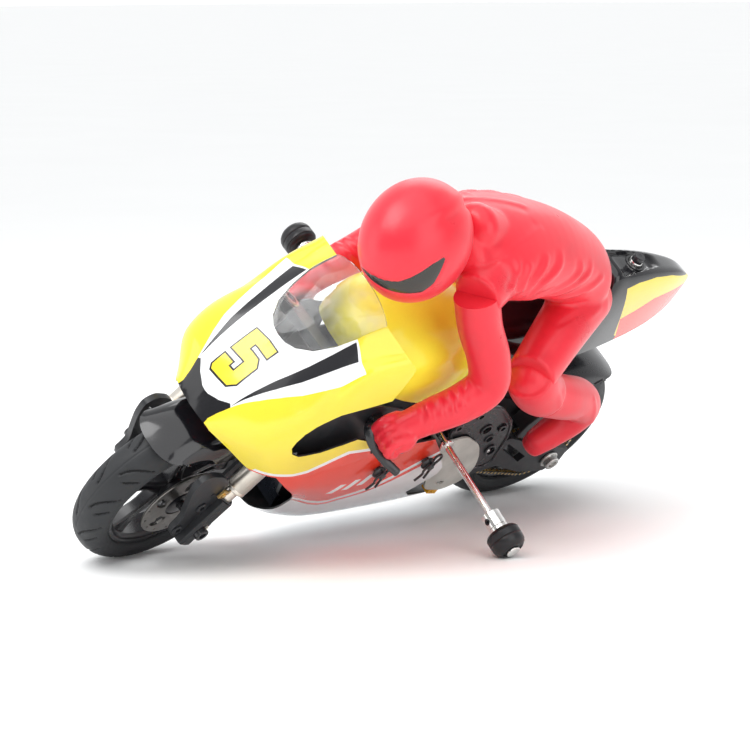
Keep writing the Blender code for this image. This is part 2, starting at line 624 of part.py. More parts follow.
# ---------------------------------------------------------------- chassis and drive
def chassis(body):
    """The two side plates, the steering head between them and the subframe that carries the tail."""
    nose = [up_stem(level) + STEER_FORE * fore for level, fore in ((87.2, -17), (87.2, 6), (113.2, 6), (113.2, -15))]
    outline = [(p.x, p.z) for p in nose]
    outline += [(206.0, 134.0), (150.0, 131.0), (96.0, 134.0), (70.0, 132.0), (66.0, 108.0), (74.0, 82.0),
                (74.0, 56.0), (84.0, 46.0), (110.0, 34.0), (190.0, 36.0), (206.0, 50.0), (212.0, 84.0)]
    head_low, head_high = up_stem(87.0), up_stem(113.6)
    for side, word in ((1, "left"), (-1, "right")):
        low, high = sorted((PLATE_Y * side, (PLATE_Y + PLATE_T) * side))
        plate = slab(outline, low, high)
        bores = [(PIVOT_X, PIVOT_Z, 5.2), (OUTRIGGER_X, OUTRIGGER_Z + 6, 3.4)]
        bores += [(x, z, POST_R + GAP) for x, z in POSTS]
        if side > 0:
            bores.append((MOTOR.x, MOTOR.z, 3.4))
        holes = [rod((x, low - 2, z), (x, high + 2, z), radius, 12) for x, z, radius in bores]
        for window in ([(150, 90), (172, 92), (173, 114), (158, 117)], [(188, 94), (200, 96), (206, 112), (188, 114)],
                       [(122, 66), (196, 66), (200, 80), (128, 84)]):
            holes.append(slab(window, low - 2, high + 2))
        place(cut(plate, *holes), f"chassis_{word}", body, "carbon", origin=(140, low, 90))
    head = block((head_low + head_high) / 2 - STEER_FORE * 1.0, (16.0, (PLATE_Y - GAP) * 2, 26.0), STEER_FORE,
                 STEER_AXIS)
    bore = rod(head_low - STEER_AXIS * 4, head_high + STEER_AXIS * 4, 3.0 + GAP, 14)
    place(cut(head, bore), "steering_head", body, "dark_steel", origin=head_low)
    rails = []
    for side in (1, -1):
        low, high = sorted((8.7 * side, 11.9 * side))
        bar = [(66.0, 112.0), (92.0, 112.0), (92.0, 128.0), (66.0, 144.0), (-6.0, 174.0), (-9.0, 164.5),
               (30.0, 146.0)]
        rails.append(slab(bar, low, high))
        for x, z in ((88.0, 117.0), (75.0, 127.0)):
            rails.append(rod((x, 10.0 * side, z), (x, (PLATE_Y - GAP) * side, z), 2.6, 10))
    cross = [block((76.0, 0, 134.5), (18.0, 20.0, 3.0), (1, 0, -0.6), (0.6, 0, 1)),
             rod((SHOCK_TOP.x, -10, SHOCK_TOP.z), (SHOCK_TOP.x, 10, SHOCK_TOP.z), 1.8, 10),
             block((1.5, 0, 166.0), (11.0, 20.0, 9.0), (1, 0, -0.4), (0.4, 0, 1)),
             rod((1.5, 0, 168.0), (1.5, 0, 205.0), 3.0, 12),
             rod((1.5, 0, 204.0), (1.5, 0, 207.5), 3.6, 10)]
    place(join(rails[0], *rails[1:], *cross), "subframe", body, "black_plastic", origin=(78, 0, 136))


def electrics(body):
    place(block((158.0, 0, 46.0), (82.0, 25.0, 27.0)), "battery", body, "blue_pack")
    case = block((146.0, 0, 70.5), (34.0, 24.0, 15.0))
    fins = [block((146.0, -9 + 4.5 * i, 80.0), (30.0, 1.6, 6.0)) for i in range(5)]
    place(join(case, *fins), "speed_controller", body, "circuit")
    box = block((182.0, 0, 69.5), (26.0, 22.0, 12.0))
    pins = block((193.0, 0, 77.0), (4.0, 14.0, 5.0))
    place(join(box, pins), "receiver", body, "circuit")
    top = SERVO - STEER_AXIS * 3.2
    case = block(top - STEER_AXIS * 13.0 - STEER_FORE * 5.5, (23.0, 12.0, 24.0), STEER_FORE, STEER_AXIS)
    ears = block(top - STEER_AXIS * 7.0 - STEER_FORE * 5.5, (29.0, 12.0, 2.0), STEER_FORE, STEER_AXIS)
    shaft = rod(top - STEER_AXIS * 2.0, top + STEER_AXIS * 0.8, 2.6, 14)
    place(join(case, ears, shaft), "steering_servo", body, "black_plastic")
    can = tube(MOTOR - LATERAL * 13.4, MOTOR + LATERAL * 13.5, 14.0, 2.0, 20)
    wires = block(MOTOR + Vector((12.0, 0, 9.0)) - LATERAL * 9.0, (9.0, 6.0, 5.0), (1, 0, 0.8), (-0.8, 0, 1))
    place(join(can, wires), "motor_can", body, "dark_steel")


def drive(shaft, rotor):
    """The motor's shaft and pinion, and the hollow layshaft with its spur gear and front sprocket."""
    axle = turned([(-17.5, 2.85), (26.0, 2.85), (26.0, 4.6), (-17.5, 4.6)], PIVOT, LATERAL, 14)
    bore = rod(PIVOT + LATERAL * 10, PIVOT + LATERAL * 30, 4.0, 12)
    spur = slab(moved(gear_outline(SPUR_TEETH, SPUR_R - 1.15, SPUR_R + 0.75), (PIVOT_X, PIVOT_Z)), 17.4, 20.2)
    outline = sprocket_outline(FRONT_TEETH, PITCH_FRONT_R - 1.3, PITCH_FRONT_R + 0.9)
    front = slab(moved(outline, (PIVOT_X, PIVOT_Z)), CHAIN_Y - 0.7, CHAIN_Y + 0.7)
    place(join(axle, cut(join(spur, front, rod(PIVOT + LATERAL * 17.4, PIVOT + LATERAL * 25, 5.5, 12)), bore)),
          "layshaft", shaft, "satin_steel")
    toward = math.atan2(PIVOT.z - MOTOR.z, PIVOT.x - MOTOR.x)
    spur_phase = (math.atan2(MOTOR.z - PIVOT.z, MOTOR.x - PIVOT.x) % (2 * math.pi / SPUR_TEETH))
    turn = toward + math.pi / PINION_TEETH + spur_phase * SPUR_TEETH / PINION_TEETH
    teeth = gear_outline(PINION_TEETH, PINION_R - 1.15, PINION_R + 0.75, turn)
    pinion = slab(moved(teeth, (MOTOR.x, MOTOR.z)), 17.4, 20.2)
    bar = rod(MOTOR - LATERAL * 12.5, MOTOR + LATERAL * 20.8, 1.5, 10)
    place(join(pinion, bar), "motor_shaft", rotor, "satin_steel")


def covers(body):
    """The bolted black cover outside the drive, and the pale guard plate over its lower half."""
    foot = PLATE_Y + PLATE_T + GAP
    low = ARM_Y + ARM_T + 0.8
    outline = [(59.0, 71.0), (63.0, 67.0), (72.0, 66.0), (90.0, 84.0), (108.0, 94.0), (121.0, 108.0), (119.0, 120.0),
               (109.0, 127.0), (101.0, 129.5), (86.0, 125.0), (68.0, 110.0), (61.0, 96.0)]
    legs = [rod((x, foot, z), (x, low + 3.2, z), 2.6, 10) for x, z in ((103.0, 121.0), (74.0, 105.0), (116.0, 113.0))]
    slots = [rod((x, low - 3, z), (x, low + 5, z), radius, 10) for x, z, radius in ((88, 106, 3.4), (70, 84, 2.6))]
    place(cut(join(slab(outline, low, low + 2.2), *legs), *slots), "gear_cover", body, "black_plastic")
    low += 2.2 + GAP
    guard = [(123.0, 103.0), (104.0, 105.0), (88.0, 95.0), (80.0, 83.0), (76.0, 71.0), (80.0, 60.0), (94.0, 54.5),
             (110.0, 58.0), (117.0, 74.0)]
    legs = [rod((x, foot, z), (x, low + 1.0, z), 2.4, 10) for x, z in ((112.0, 68.0), (118.0, 97.0))]
    place(join(slab(guard, low, low + 1.8), *legs), "side_guard", body, "grey_plate")


def outriggers(body, wheels):
    """A steel bar right across the bike with a clamp collar and a rubber roller at each end."""
    centre = Vector((OUTRIGGER_X, 0, OUTRIGGER_Z + 6))
    ends = {}
    for side in (1, -1):
        ends[side] = Vector((OUTRIGGER_X, OUTRIGGER_Y * side, OUTRIGGER_Z))
    bars = []
    for side in (1, -1):
        out = (ends[side] - (centre + LATERAL * (10.0 * side))).normalized()
        root = ends[side] - out * (ROLLER_L / 2 + 85.0)
        bars.append((out, root))
    middle = rod(centre - LATERAL * 18, centre + LATERAL * 18, 2.9, 12)
    pieces = [middle]
    for side, (out, root) in zip((1, -1), bars):
        start = root - out * 12
        pieces.append(rod(start, ends[side] + out * (ROLLER_L / 2 + 1.6), 2.0, 12))
        flange = ends[side] - out * 68.0
        pieces.append(rod(flange, flange + out * 1.6, 4.6, 12))
        cap = ends[side] + out * (ROLLER_L / 2 + GAP)
        pieces.append(rod(cap, cap + out * 1.3, 4.2, 14))
    place(join(pieces[0], *pieces[1:]), "outrigger_bar", body, "satin_steel", origin=centre)
    for side, word in ((1, "left"), (-1, "right")):
        out = bars[0][0] if side > 0 else bars[1][0]
        low, high = ends[side] - out * 19.0, ends[side] - out * (ROLLER_L / 2 + GAP)
        collar = tube(low, high, 5.6, 2.0 + GAP, 16)
        screw_side, _ = frame_of(out)
        spot = low + out * 5.0
        hole = rod(spot + screw_side * 1.0, spot + screw_side * 9.0, 1.7, 10)
        place(cut(collar, hole), f"outrigger_collar_{word}", body, "satin_steel", origin=low)
        half = ROLLER_L / 2
        profile = [(-half, 2.4), (half, 2.4), (half, 6.0), (half - 2.4, ROLLER_R - 0.7), (half - 5.0, ROLLER_R),
                   (2.0 - half, ROLLER_R), (0.6 - half, ROLLER_R - 0.8), (-half, ROLLER_R - 2.0)]
        place(turned(profile, ends[side], out, 24), f"outrigger_roller_{word}", wheels[side], "tyre")
    return bars


# ---------------------------------------------------------------- bodywork
SEAM = [(300.0, 112.0), (268.0, 111.0), (242.0, 108.0), (211.0, 115.0), (200.0, 119.0), (170.0, 121.0),
        (120.0, 122.5)]

NOSE_RIBS = [
    [(302, 0, 127), (302, 5, 127.2), (302, 9, 127.4), (301.8, 12, 127.6), (301.4, 14, 127.6), (300.5, 16.5, 127),
     (299.5, 18.5, 126)],
    [(297, 0, 138.3), (296.6, 9, 138.4), (295.8, 17, 138), (294.5, 24, 135.5), (293, 27.5, 130), (291, 28.5, 125),
     (289, 28.5, 120)],
    [(290, 0, 151), (290, 13, 151), (289, 26, 149), (287.5, 36, 144), (285, 41, 136), (281.5, 40, 125),
     (277, 37, 112)],
    [(280, 0, 165), (279.5, 15, 164), (279, 31, 160), (277, 43, 152), (274, 47, 140), (269, 46, 122),
     (261, 43, 103)],
    [(268.4, 0, 177.4), (268, 15, 175.5), (266, 31, 171), (263, 45, 161.5), (259, 49.5, 146), (252, 48.5, 124),
     (242, 45, 99)],
    [(243, 0, 199), (243, 13, 198.5), (241, 26, 197), (242, 35.5, 190), (241, 46, 183), (233, 50, 150),
     (221, 46, 99)],
    [(222, 0, 209), (223, 13, 208.8), (224, 26.5, 206.7), (219, 39, 201), (213, 49.6, 195.4), (205, 51, 155),
     (194, 46.5, 99)],
]

BELLY_RIBS = [
    [(217, 0, 33), (216, 12, 36), (214, 24, 47), (218, 33, 66), (231, 41, 84), (247, 44, 98), (268, 43.5, 116)],
    [(204, 0, 26), (203, 13, 29), (201, 26, 42), (203, 35.5, 63), (210, 42.5, 84), (222, 45, 102), (240, 45, 122)],
    [(180, 0, 22), (180, 14, 24.5), (180, 26.5, 37), (181, 36, 58), (184, 43, 80), (190, 45.5, 102),
     (198, 46.5, 130)],
    [(140, 0, 21), (140, 14, 23.5), (140, 26.5, 35.5), (141, 36, 56), (143, 43, 80), (147, 45, 102),
     (152, 46.5, 130)],
    [(98, 0, 22), (98, 14, 24.5), (98, 26, 36), (98, 35, 56), (100, 41.5, 80), (102, 44, 102), (104, 46, 130)],
    [(62, 0, 26), (62, 12, 28), (62, 23, 37), (62, 32, 54), (62, 39, 76), (62, 42, 98), (62, 44, 120)],
]

SCREEN_OUTLINE = [(268.4, 0.0), (267.5, 6.0), (265.0, 12.0), (259.0, 18.5), (250.0, 23.0), (241.0, 25.3),
                  (225.0, 26.5), (205.0, 26.8)]


def upper_fairing(body):
    """The nose and upper sides: open behind, with the screen's opening and an air intake on each side."""
    shell = skin(NOSE_RIBS, 10, 8)
    opening = upright(mirrored(SCREEN_OUTLINE), 150, 230)
    below = slab(SEAM + [(120, 60), (300, 60)], -70, 70)
    intake = [(269.0, 140.0), (268.0, 149.0), (260.0, 155.5), (247.0, 163.0), (232.0, 167.5), (217.0, 172.0),
              (170.0, 172.0), (170.0, 122.0), (201.0, 122.5), (211.0, 136.0), (222.0, 140.0), (231.0, 136.5),
              (245.0, 132.5), (260.0, 133.0)]
    behind = [(170, 230), (225.4, 230), (225.4, 206.0), (213.3, 195.4), (217.0, 172.0), (170, 172)]
    tools = [below, slab(intake, 20, 70), slab(intake, -70, -20), slab(behind, 27.5, 70), slab(behind, -70, -27.5),
             slab([(170, 230), (225.4, 230), (225.4, 180), (170, 180)], -28, 28)]
    made = cut(shell, opening, *tools)
    place(made, "upper_fairing", body, "body_paint", origin=(250, 0, 160))
    inner = [(x - 0.5 if i == 0 else x, max(0.0, y - 0.45)) for i, (x, y) in enumerate(SCREEN_OUTLINE)]

    def bulge(point):
        wide = 26.0 * max(0.0, min(1.0, (268.4 - point[0]) / 30.0)) ** 0.5 + 1e-3
        return 5.0 * max(0.0, 1 - (point[1] / wide) ** 2) * min(1.0, (270.0 - point[0]) / 25.0) \
            if point[0] < 268.4 else 0.0
    screen = skin(NOSE_RIBS[3:], 8, 8, 1.0, bulge)
    screen = keep(screen, upright(mirrored(inner), 150, 240))
    screen = cut(screen, slab([(150, 260), (225.4, 260), (225.4, 150), (150, 150)], -40, 40))
    place(screen, "windshield", body, "clear", origin=(250, 0, 190))


def lower_fairing(body):
    """The belly trough, cut away behind on both sides to show the drive."""
    shell = skin(BELLY_RIBS, 8, 7)
    above = slab([(x, z - GAP * 1.5) for x, z in reversed(SEAM)] + [(300, 200), (120, 200)], -70, 70)
    posts = [rod((x, -70, z), (x, 70, z), POST_R + GAP, 12) for x, z in POSTS]
    rear = [(40, 200), (140.0, 200), (148.5, 122.0), (137.0, 110.0), (118.5, 88.0), (117.0, 80.0), (121.0, 70.0),
            (124.0, 58.0), (112.0, 47.0), (84.0, 39.5), (40.0, 37.0)]
    place(cut(shell, above, slab(rear, -70, 70), *posts), "lower_fairing", body, "lower_paint", origin=(160, 0, 30))


TANK_STATIONS = [  # x, half width, top, bottom
    (221.0, 6.0, 176.0, 166.0), (216.0, 20.0, 184.0, 163.0), (206.0, 31.0, 190.5, 158.0), (190.0, 38.5, 194.0, 154.0),
    (172.0, 40.0, 194.5, 151.0), (152.0, 37.0, 193.0, 149.5), (132.0, 30.0, 189.0, 148.0), (117.0, 22.5, 182.0, 147.0),
    (106.0, 16.5, 173.5, 146.0)]


def closed_cover(stations, steps, across, square=2.6):
    """An arch-shaped shell with both ends walled and the underside open."""
    outer = arch_solid(stations, steps, across, square, 0.0)
    inner = arch_solid(stations, steps, across, square, SKIN)
    return cut(outer, inner)


def arch_solid(stations, steps, across, square, inset):
    """A filled arch-shaped form; inset shrinks it, and carries it through the underside."""
    table = spline([(s[0], s[1], s[2], s[3]) for s in stations], steps + 1)
    first, last = table[0][0], table[-1][0]
    sections = []
    for x, wide, top, bottom in table:
        place_x = first + (x - first) * (1 - 2 * inset / abs(last - first)) - math.copysign(inset, first - last)
        wide, top = wide - inset, top - inset
        bottom = bottom if inset == 0 else bottom - 3.0
        arch = []
        for j in range(2 * across + 1):
            t = (j / (2 * across) - 0.5) * math.pi
            over = math.copysign(abs(math.sin(t)) ** (2 / square), t)
            rise = max(0.0, math.cos(t)) ** (2 / square)
            arch.append(Vector((place_x, wide * over, bottom + (top - bottom) * rise)))
        sections.append(arch)
    return loft(sections)


SEAT_STATIONS = [(103.5, 16.0, 170.5, 146.0), (90.0, 19.5, 169.5, 144.0), (70.0, 20.5, 169.0, 142.0),
                 (50.0, 20.0, 171.0, 141.0), (34.0, 18.5, 177.0, 141.5)]
TAIL_STATIONS = [(33.0, 18.0, 190.0, 141.0), (27.0, 17.6, 204.0, 141.0), (14.0, 16.6, 204.5, 143.0),
                 (-4.0, 14.4, 203.3, 146.0), (-24.0, 11.5, 200.0, 149.5), (-42.0, 8.0, 195.0, 154.0),
                 (-56.0, 4.2, 187.0, 162.0), (-61.0, 1.6, 183.5, 172.0)]


TANK_GRID, SEAT_GRID, TAIL_GRID = (10, 6, 2.6), (5, 5, 4.0), (9, 5, 5.0)   # steps, half across, squareness


def seat_and_tail(body):
    place(closed_cover(TANK_STATIONS, *TANK_GRID), "tank_cover", body, "yellow", origin=(160, 0, 150))
    rails = [block((33.5, 0, 151), (11.0, 27.0, 26.0)) for _ in range(2)]
    place(cut(closed_cover(SEAT_STATIONS, *SEAT_GRID), rails[0]), "seat", body, "gloss_black", origin=(70, 0, 150))
    tail = closed_cover(TAIL_STATIONS, *TAIL_GRID)
    ends = [(10, 0, 207.5, 8.5, 4.2), (-14, 0, 205.5, 7.0, 4.2)]
    floor = limb([(x, y, z - 1.5, a + 1.5, b + 0.8) for x, y, z, a, b in ends], 10, 2)
    under = upright([(30, -20), (-40, -20), (-40, 20), (30, 20)], 190, 203)
    post = rod((1.5, 0, 195), (1.5, 0, 215), 4.4, 12)
    made = cut(join(tail, keep(floor, under)), limb(ends, 10, 2), post, rails[1])
    place(made, "tail_cowl", body, "body_paint", origin=(0, 0, 150))


BAR_PATH = [(198, 20.0, 129, 3.0, 3.0), (205, 34, 141, 2.6, 2.6), (204, 44, 143, 2.4, 2.4), (197, 70, 140, 2.4, 2.4)]
LEVER_PATH = [(206, 43, 144, 4.0, 2.6), (215, 47, 144, 4.2, 2.0), (216, 54, 139, 3.2, 1.8), (205, 68, 131, 2.4, 1.8),
              (196, 80, 128, 2.4, 2.0)]


def sided(path, side, grow=0.0):
    """A limb's stations on one side of the bike, made thicker by the same amount all round."""
    return [(x, y * side, z, wide + grow, high + grow) for x, y, z, wide, high in path]


def handlebars(body):
    """A black bar on each side from the chassis out to the rider's hand, with a lever in front."""
    for side, word in ((1, "left"), (-1, "right")):
        bar = limb(sided(BAR_PATH, side), 8, 1)
        lever = limb(sided(LEVER_PATH, side), 8, 1)
        place(join(bar, lever), f"handlebar_{word}", body, "black_plastic", origin=(198, 20 * side, 129))


def body_posts(body):
    """Cross rods that carry the belly fairing, each with a domed washer outside the panel."""
    for word, (x, z) in zip(("front", "rear"), POSTS):
        bar = rod((x, -52.0, z), (x, 52.0, z), POST_R, 10)
        ends = []
        for side in (1, -1):
            ends.append(rod((x, 46.9 * side, z), (x, 49.4 * side, z), 4.6, 12, 3.4))
        place(join(bar, *ends), f"body_post_{word}", body, "black_plastic")


# ---------------------------------------------------------------- rider
HELMET = Vector((209.5, 0.0, 243.5))
HELMET_NOD, HELMET_ROLL = 45.0, 41.0     # pitched down; rolled upright against the bike's lean
HELMET_SIZE = (35.0, 28.0, 31.0)         # towards the face, across, towards the crown
HELMET_TURN = Matrix.Rotation(math.radians(HELMET_ROLL), 3, "X") @ Matrix.Rotation(math.radians(HELMET_NOD), 3, "Y")
HELMET_FACE, HELMET_SIDE, HELMET_UP = (HELMET_TURN.col[i].copy() for i in range(3))


def helmet_point(turn, rise, grow=0.0):
    """A point of the helmet: turn goes round it from the face, rise goes up to the crown."""
    face, across, crown = (half + grow for half in HELMET_SIZE)
    level = math.cos(rise)
    return (HELMET + HELMET_FACE * (face * math.cos(turn) * level) + HELMET_SIDE * (across * math.sin(turn) * level)
            + HELMET_UP * (crown * math.sin(rise)))


def helmet_solid(grow, count=18, rows=9):
    sections = []
    for i in range(rows + 1):
        rise = math.radians(-84 + 168 * i / rows)
        sections.append([helmet_point(2 * math.pi * j / count, rise, grow) for j in range(count)])
    return loft(sections)


def visor_solid():
    """A band of the helmet's own surface, standing just proud of it and narrowing to its ends."""
    steps = 12
    rings = []
    for i in range(steps + 1):
        f = i / steps * 2 - 1
        turn = math.radians(80) * f
        middle = math.radians(2.0 + 9.0 * f * f)
        half = math.radians(15.0) * math.sqrt(max(0.0, 1 - abs(f) ** 3)) + math.radians(1.2)
        heights = ((middle - half, 0.7), (middle, 0.7), (middle + half, 0.7), (middle + half, 1.5), (middle, 1.8),
                   (middle - half, 1.5))
        rings.append([helmet_point(turn, rise, lift) for rise, lift in heights])
    return loft(rings)


ARM_PATH = [(173, 37, 220, 12.5, 12.0), (160, 50, 199, 12.5, 12.0), (154, 56, 181, 12.0, 11.5),
            (167, 57, 168, 11.5, 11.0), (184, 56, 160, 10.5, 10.0), (196, 54, 151, 10.0, 11.0),
            (203, 53, 143, 9.5, 10.5)]
LEG_PATH = [(108, 49, 167, 14.5, 14.5), (90, 50, 156, 14.5, 14.0), (68, 50, 149, 13.5, 13.5),
            (46, 47, 140, 13.0, 13.0), (34, 46, 130, 12.0, 12.0), (37, 46, 116, 10.5, 10.5), (50, 46, 101, 8.0, 8.5)]
SPINE = [(47, 0, 200, 20, 15), (58, 0, 204, 29, 22), (76, 0, 214, 29, 23), (105, 0, 225, 31, 24),
         (135, 0, 232, 35, 24), (158, 0, 235, 35, 22), (172, 0, 236, 27, 18)]
HUMP = [(152, 0, 247, 13, 11), (166, 0, 251, 15, 12)]
THIGH_PATH = [(56, 16, 194, 17.5, 17.5), (84, 33, 186, 15.5, 16), (103, 45, 178, 14, 14)]
SHOULDER_PATH = [(166, 29, 231, 13.5, 13.5), (169, 36, 225, 14, 14)]


def rider(body):
    """The moulded rider: a torso with its thighs, a helmet, a visor, two arms and two lower legs."""
    parts = [limb(HUMP, 12, 2)]
    tools = [helmet_solid(GAP)]
    for side in (1, -1):
        parts.append(limb(sided(THIGH_PATH, side), 12, 2))
        parts.append(limb(sided(SHOULDER_PATH, side), 12, 2))
        tools.append(limb(sided(ARM_PATH, side, GAP), 12, 2))
        tools.append(limb(sided(LEG_PATH, side, GAP), 12, 2))
    for stations, grid in ((TANK_STATIONS, TANK_GRID), (SEAT_STATIONS, SEAT_GRID)):
        tools.append(arch_solid(stations, *grid, -GAP))
    place(cut(join(limb(SPINE, 16, 2), *parts), *tools), "rider_torso", body, "vinyl_red", origin=(100, 0, 220))
    place(helmet_solid(0.0), "rider_helmet", body, "vinyl_red", origin=HELMET)
    place(visor_solid(), "rider_visor", body, "visor", origin=HELMET)
    for side, word in ((1, "left"), (-1, "right")):
        tank = arch_solid(TANK_STATIONS, *TANK_GRID, -GAP)
        grip = [limb(sided(path, side, GAP), 8, 1) for path in (BAR_PATH, LEVER_PATH)]
        arm = limb(sided(ARM_PATH, side), 12, 2)
        leg = limb(sided(LEG_PATH, side), 12, 2)
        place(cut(arm, tank, *grip), f"rider_arm_{word}", body, "vinyl_red", origin=(172, 37 * side, 222))
        place(leg, f"rider_leg_{word}", body, "vinyl_red", origin=(112, 49 * side, 172))


# ---------------------------------------------------------------- the whole bike
def build():
    root = Body("bike", (0, 0, 0))
    steer = Body("steering", up_stem(100), root, Matrix.Rotation(math.radians(STEER_REST), 3, STEER_AXIS)
                 .to_quaternion())
    slider = Body("fork_slider", FRONT_AXLE, steer)
    front = Body("front_wheel", FRONT_AXLE, slider)
    arm = Body("swingarm", PIVOT, root)
    rear = Body("rear_wheel", REAR_AXLE, arm)
    damper = Body("shock_body", SHOCK_TOP, root)
    damper_rod = Body("shock_rod", SHOCK_TOP, damper)
    shaft = Body("layshaft", PIVOT, root)
    rotor = Body("motor_shaft", MOTOR, root)
    horn = Body("servo_horn", SERVO, root)
    tie = Body("steering_rod", SERVO + LATERAL * TIE_ARM, horn)
    wheels = {side: Body(f"outrigger_roller_{word}", (OUTRIGGER_X, OUTRIGGER_Y * side, OUTRIGGER_Z), root)
              for side, word in ((1, "left"), (-1, "right"))}
    horn_turn = Matrix.Rotation(math.radians(STEER_REST), 3, STEER_AXIS)
    horn.empty.rotation_mode = "QUATERNION"
    horn.empty.rotation_quaternion = horn_turn.to_quaternion()
    tie.empty.rotation_mode = "QUATERNION"
    tie.empty.rotation_quaternion = horn_turn.inverted().to_quaternion()

    front_wheel(front)
    rear_wheel(rear)
    steering(steer)
    fork_sliders(slider)
    swingarm(arm)
    rear_axle(arm)
    chain(arm)
    rear_hugger(arm)
    shock(damper, damper_rod)
    chassis(root)
    electrics(root)
    drive(shaft, rotor)
    covers(root)
    outriggers(root, wheels)
    steering_linkage(horn, tie)
    upper_fairing(root)
    lower_fairing(root)
    seat_and_tail(root)
    handlebars(root)
    body_posts(root)
    rider(root)
    settle(root)


def steering_linkage(horn, tie):
    """The servo's horn and the rod that makes a parallelogram with the upper yoke's arm."""
    level = SERVO
    hub = rod(level - STEER_AXIS * 2.0, level + STEER_AXIS * 0.9, 3.6, 14)
    lever = block(level - STEER_AXIS * 1.1 + LATERAL * (TIE_ARM / 2), (4.4, TIE_ARM + 2.0, 1.8), STEER_FORE,
                  STEER_AXIS)
    place(join(hub, lever), "servo_horn", horn, "gloss_black")
    start = level + LATERAL * TIE_ARM + STEER_AXIS * 0.25
    stop = start + STEER_FORE * SERVO_BACK
    bar = rod(start + STEER_AXIS * 1.2, stop + STEER_AXIS * 1.2, 1.1, 10)
    ends = [rod(p, p + STEER_AXIS * 2.6, 2.4, 12) for p in (start, stop)]
    place(join(bar, *ends), "steering_rod", tie, "satin_steel")


def world_points(names=None):
    """Every node's evaluated vertices in world space, or those of the named nodes."""
    graph = bpy.context.evaluated_depsgraph_get()
    clouds = {}
    for made in bpy.context.scene.objects:
        if made.type == "MESH" and (names is None or made.name in names):
            mesh = made.evaluated_get(graph).data
            flat = np.empty(len(mesh.vertices) * 3)
            mesh.vertices.foreach_get("co", flat)
            turn = np.array(made.matrix_world)
            clouds[made.name] = flat.reshape(-1, 3) @ turn[:3, :3].T + turn[:3, 3]
    return clouds


def settle(root):
    """Leans and pitches the bike until three rolling pieces share one floor, and centres it over the origin."""
    lean, pitch = math.radians(41.5), 0.0
    contacts = ("rear_tyre", "front_tyre", "outrigger_roller_left")
    for _ in range(12):
        root.empty.rotation_euler = (0, 0, 0)
        root.empty.matrix_world = Matrix.Rotation(pitch, 4, "Y") @ Matrix.Rotation(-lean, 4, "X")
        bpy.context.view_layer.update()
        low = {name: cloud[cloud[:, 2].argmin()] for name, cloud in world_points(contacts).items()}
        rear, front, side = (low[name] for name in contacts)
        pitch += math.atan2(front[2] - rear[2], front[0] - rear[0])
        floor = rear[2] + (front[2] - rear[2]) * (side[0] - rear[0]) / (front[0] - rear[0])
        lean += math.atan2(side[2] - floor, side[1] - rear[1])
    clouds = np.vstack(list(world_points().values()))
    low, high = clouds.min(0), clouds.max(0)
    shift = Vector((-(low[0] + high[0]) / 2, -(low[1] + high[1]) / 2, -low[2]))
    root.empty.matrix_world = Matrix.Translation(shift) @ root.empty.matrix_world
    bpy.context.view_layer.update()


def main():
    for old in list(bpy.data.objects):
        bpy.data.objects.remove(old, do_unlink=True)
    build()


main()
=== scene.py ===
"""The looks of the radio-controlled racing motorcycle and its moulded rider.

Everything is drawn in the bike's own upright frame, in millimetres: x forward, y to the rider's left, z up, origin on
the ground under the rear axle. BIKE carries that frame into the row's frame; FORK does the same for the steered parts.
"""
import json
import math

import bmesh
import bpy
import numpy as np
from mathutils import Matrix, Vector
from mathutils.bvhtree import BVHTree


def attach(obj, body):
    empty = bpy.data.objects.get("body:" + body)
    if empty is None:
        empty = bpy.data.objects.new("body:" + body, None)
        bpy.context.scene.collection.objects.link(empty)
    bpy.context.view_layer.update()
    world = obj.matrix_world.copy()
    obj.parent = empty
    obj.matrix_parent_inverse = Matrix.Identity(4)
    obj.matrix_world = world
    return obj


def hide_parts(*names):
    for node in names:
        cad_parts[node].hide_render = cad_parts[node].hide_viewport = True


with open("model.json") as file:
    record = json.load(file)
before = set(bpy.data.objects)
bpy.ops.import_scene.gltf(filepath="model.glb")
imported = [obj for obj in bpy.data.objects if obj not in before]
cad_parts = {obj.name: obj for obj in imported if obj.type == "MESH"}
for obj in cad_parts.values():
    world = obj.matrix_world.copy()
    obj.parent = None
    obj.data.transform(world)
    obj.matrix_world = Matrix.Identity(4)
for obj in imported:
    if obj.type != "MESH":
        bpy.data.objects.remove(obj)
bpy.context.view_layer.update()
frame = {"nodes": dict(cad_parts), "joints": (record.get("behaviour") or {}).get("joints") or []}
JOINTS = {joint["name"]: joint for joint in frame["joints"]}
NODES = frame["nodes"]

MM = 0.001
WHEELBASE, REAR_R, FRONT_R = 282, 59.5, 57.5
RAKE = math.radians(24)
YOKE_OFFSET, FORK_Y, STEER_REST = 6, 30.5, 5
PIVOT_X, PIVOT_Z = 84, 66
CHAIN_Y, CHAIN_PITCH, FRONT_TEETH, REAR_TEETH = 23, 3.9, 12, 36
POSTS = ((180, 101), (142, 101))  # x and z of the two cross rods
OUTRIGGER = Vector((140, 0, 115))
SHOCK_TOP, SHOCK_FOOT = Vector((77, 0, 125)), Vector((68.5, 0, 82))
OUTRIGGER_Y, ROLLER_L = 117, 13

LATERAL = Vector((0, 1, 0))
REAR_AXLE = Vector((0, 0, REAR_R))
FRONT_AXLE = Vector((WHEELBASE, 0, FRONT_R))
STEER_AXIS = Vector((-math.sin(RAKE), 0, math.cos(RAKE)))
STEER_FORE = Vector((math.cos(RAKE), 0, math.sin(RAKE)))
STEER_FOOT = FRONT_AXLE - STEER_FORE * YOKE_OFFSET
PITCH_REAR_R = CHAIN_PITCH / (2 * math.sin(math.pi / REAR_TEETH))
PITCH_FRONT_R = CHAIN_PITCH / (2 * math.sin(math.pi / FRONT_TEETH))


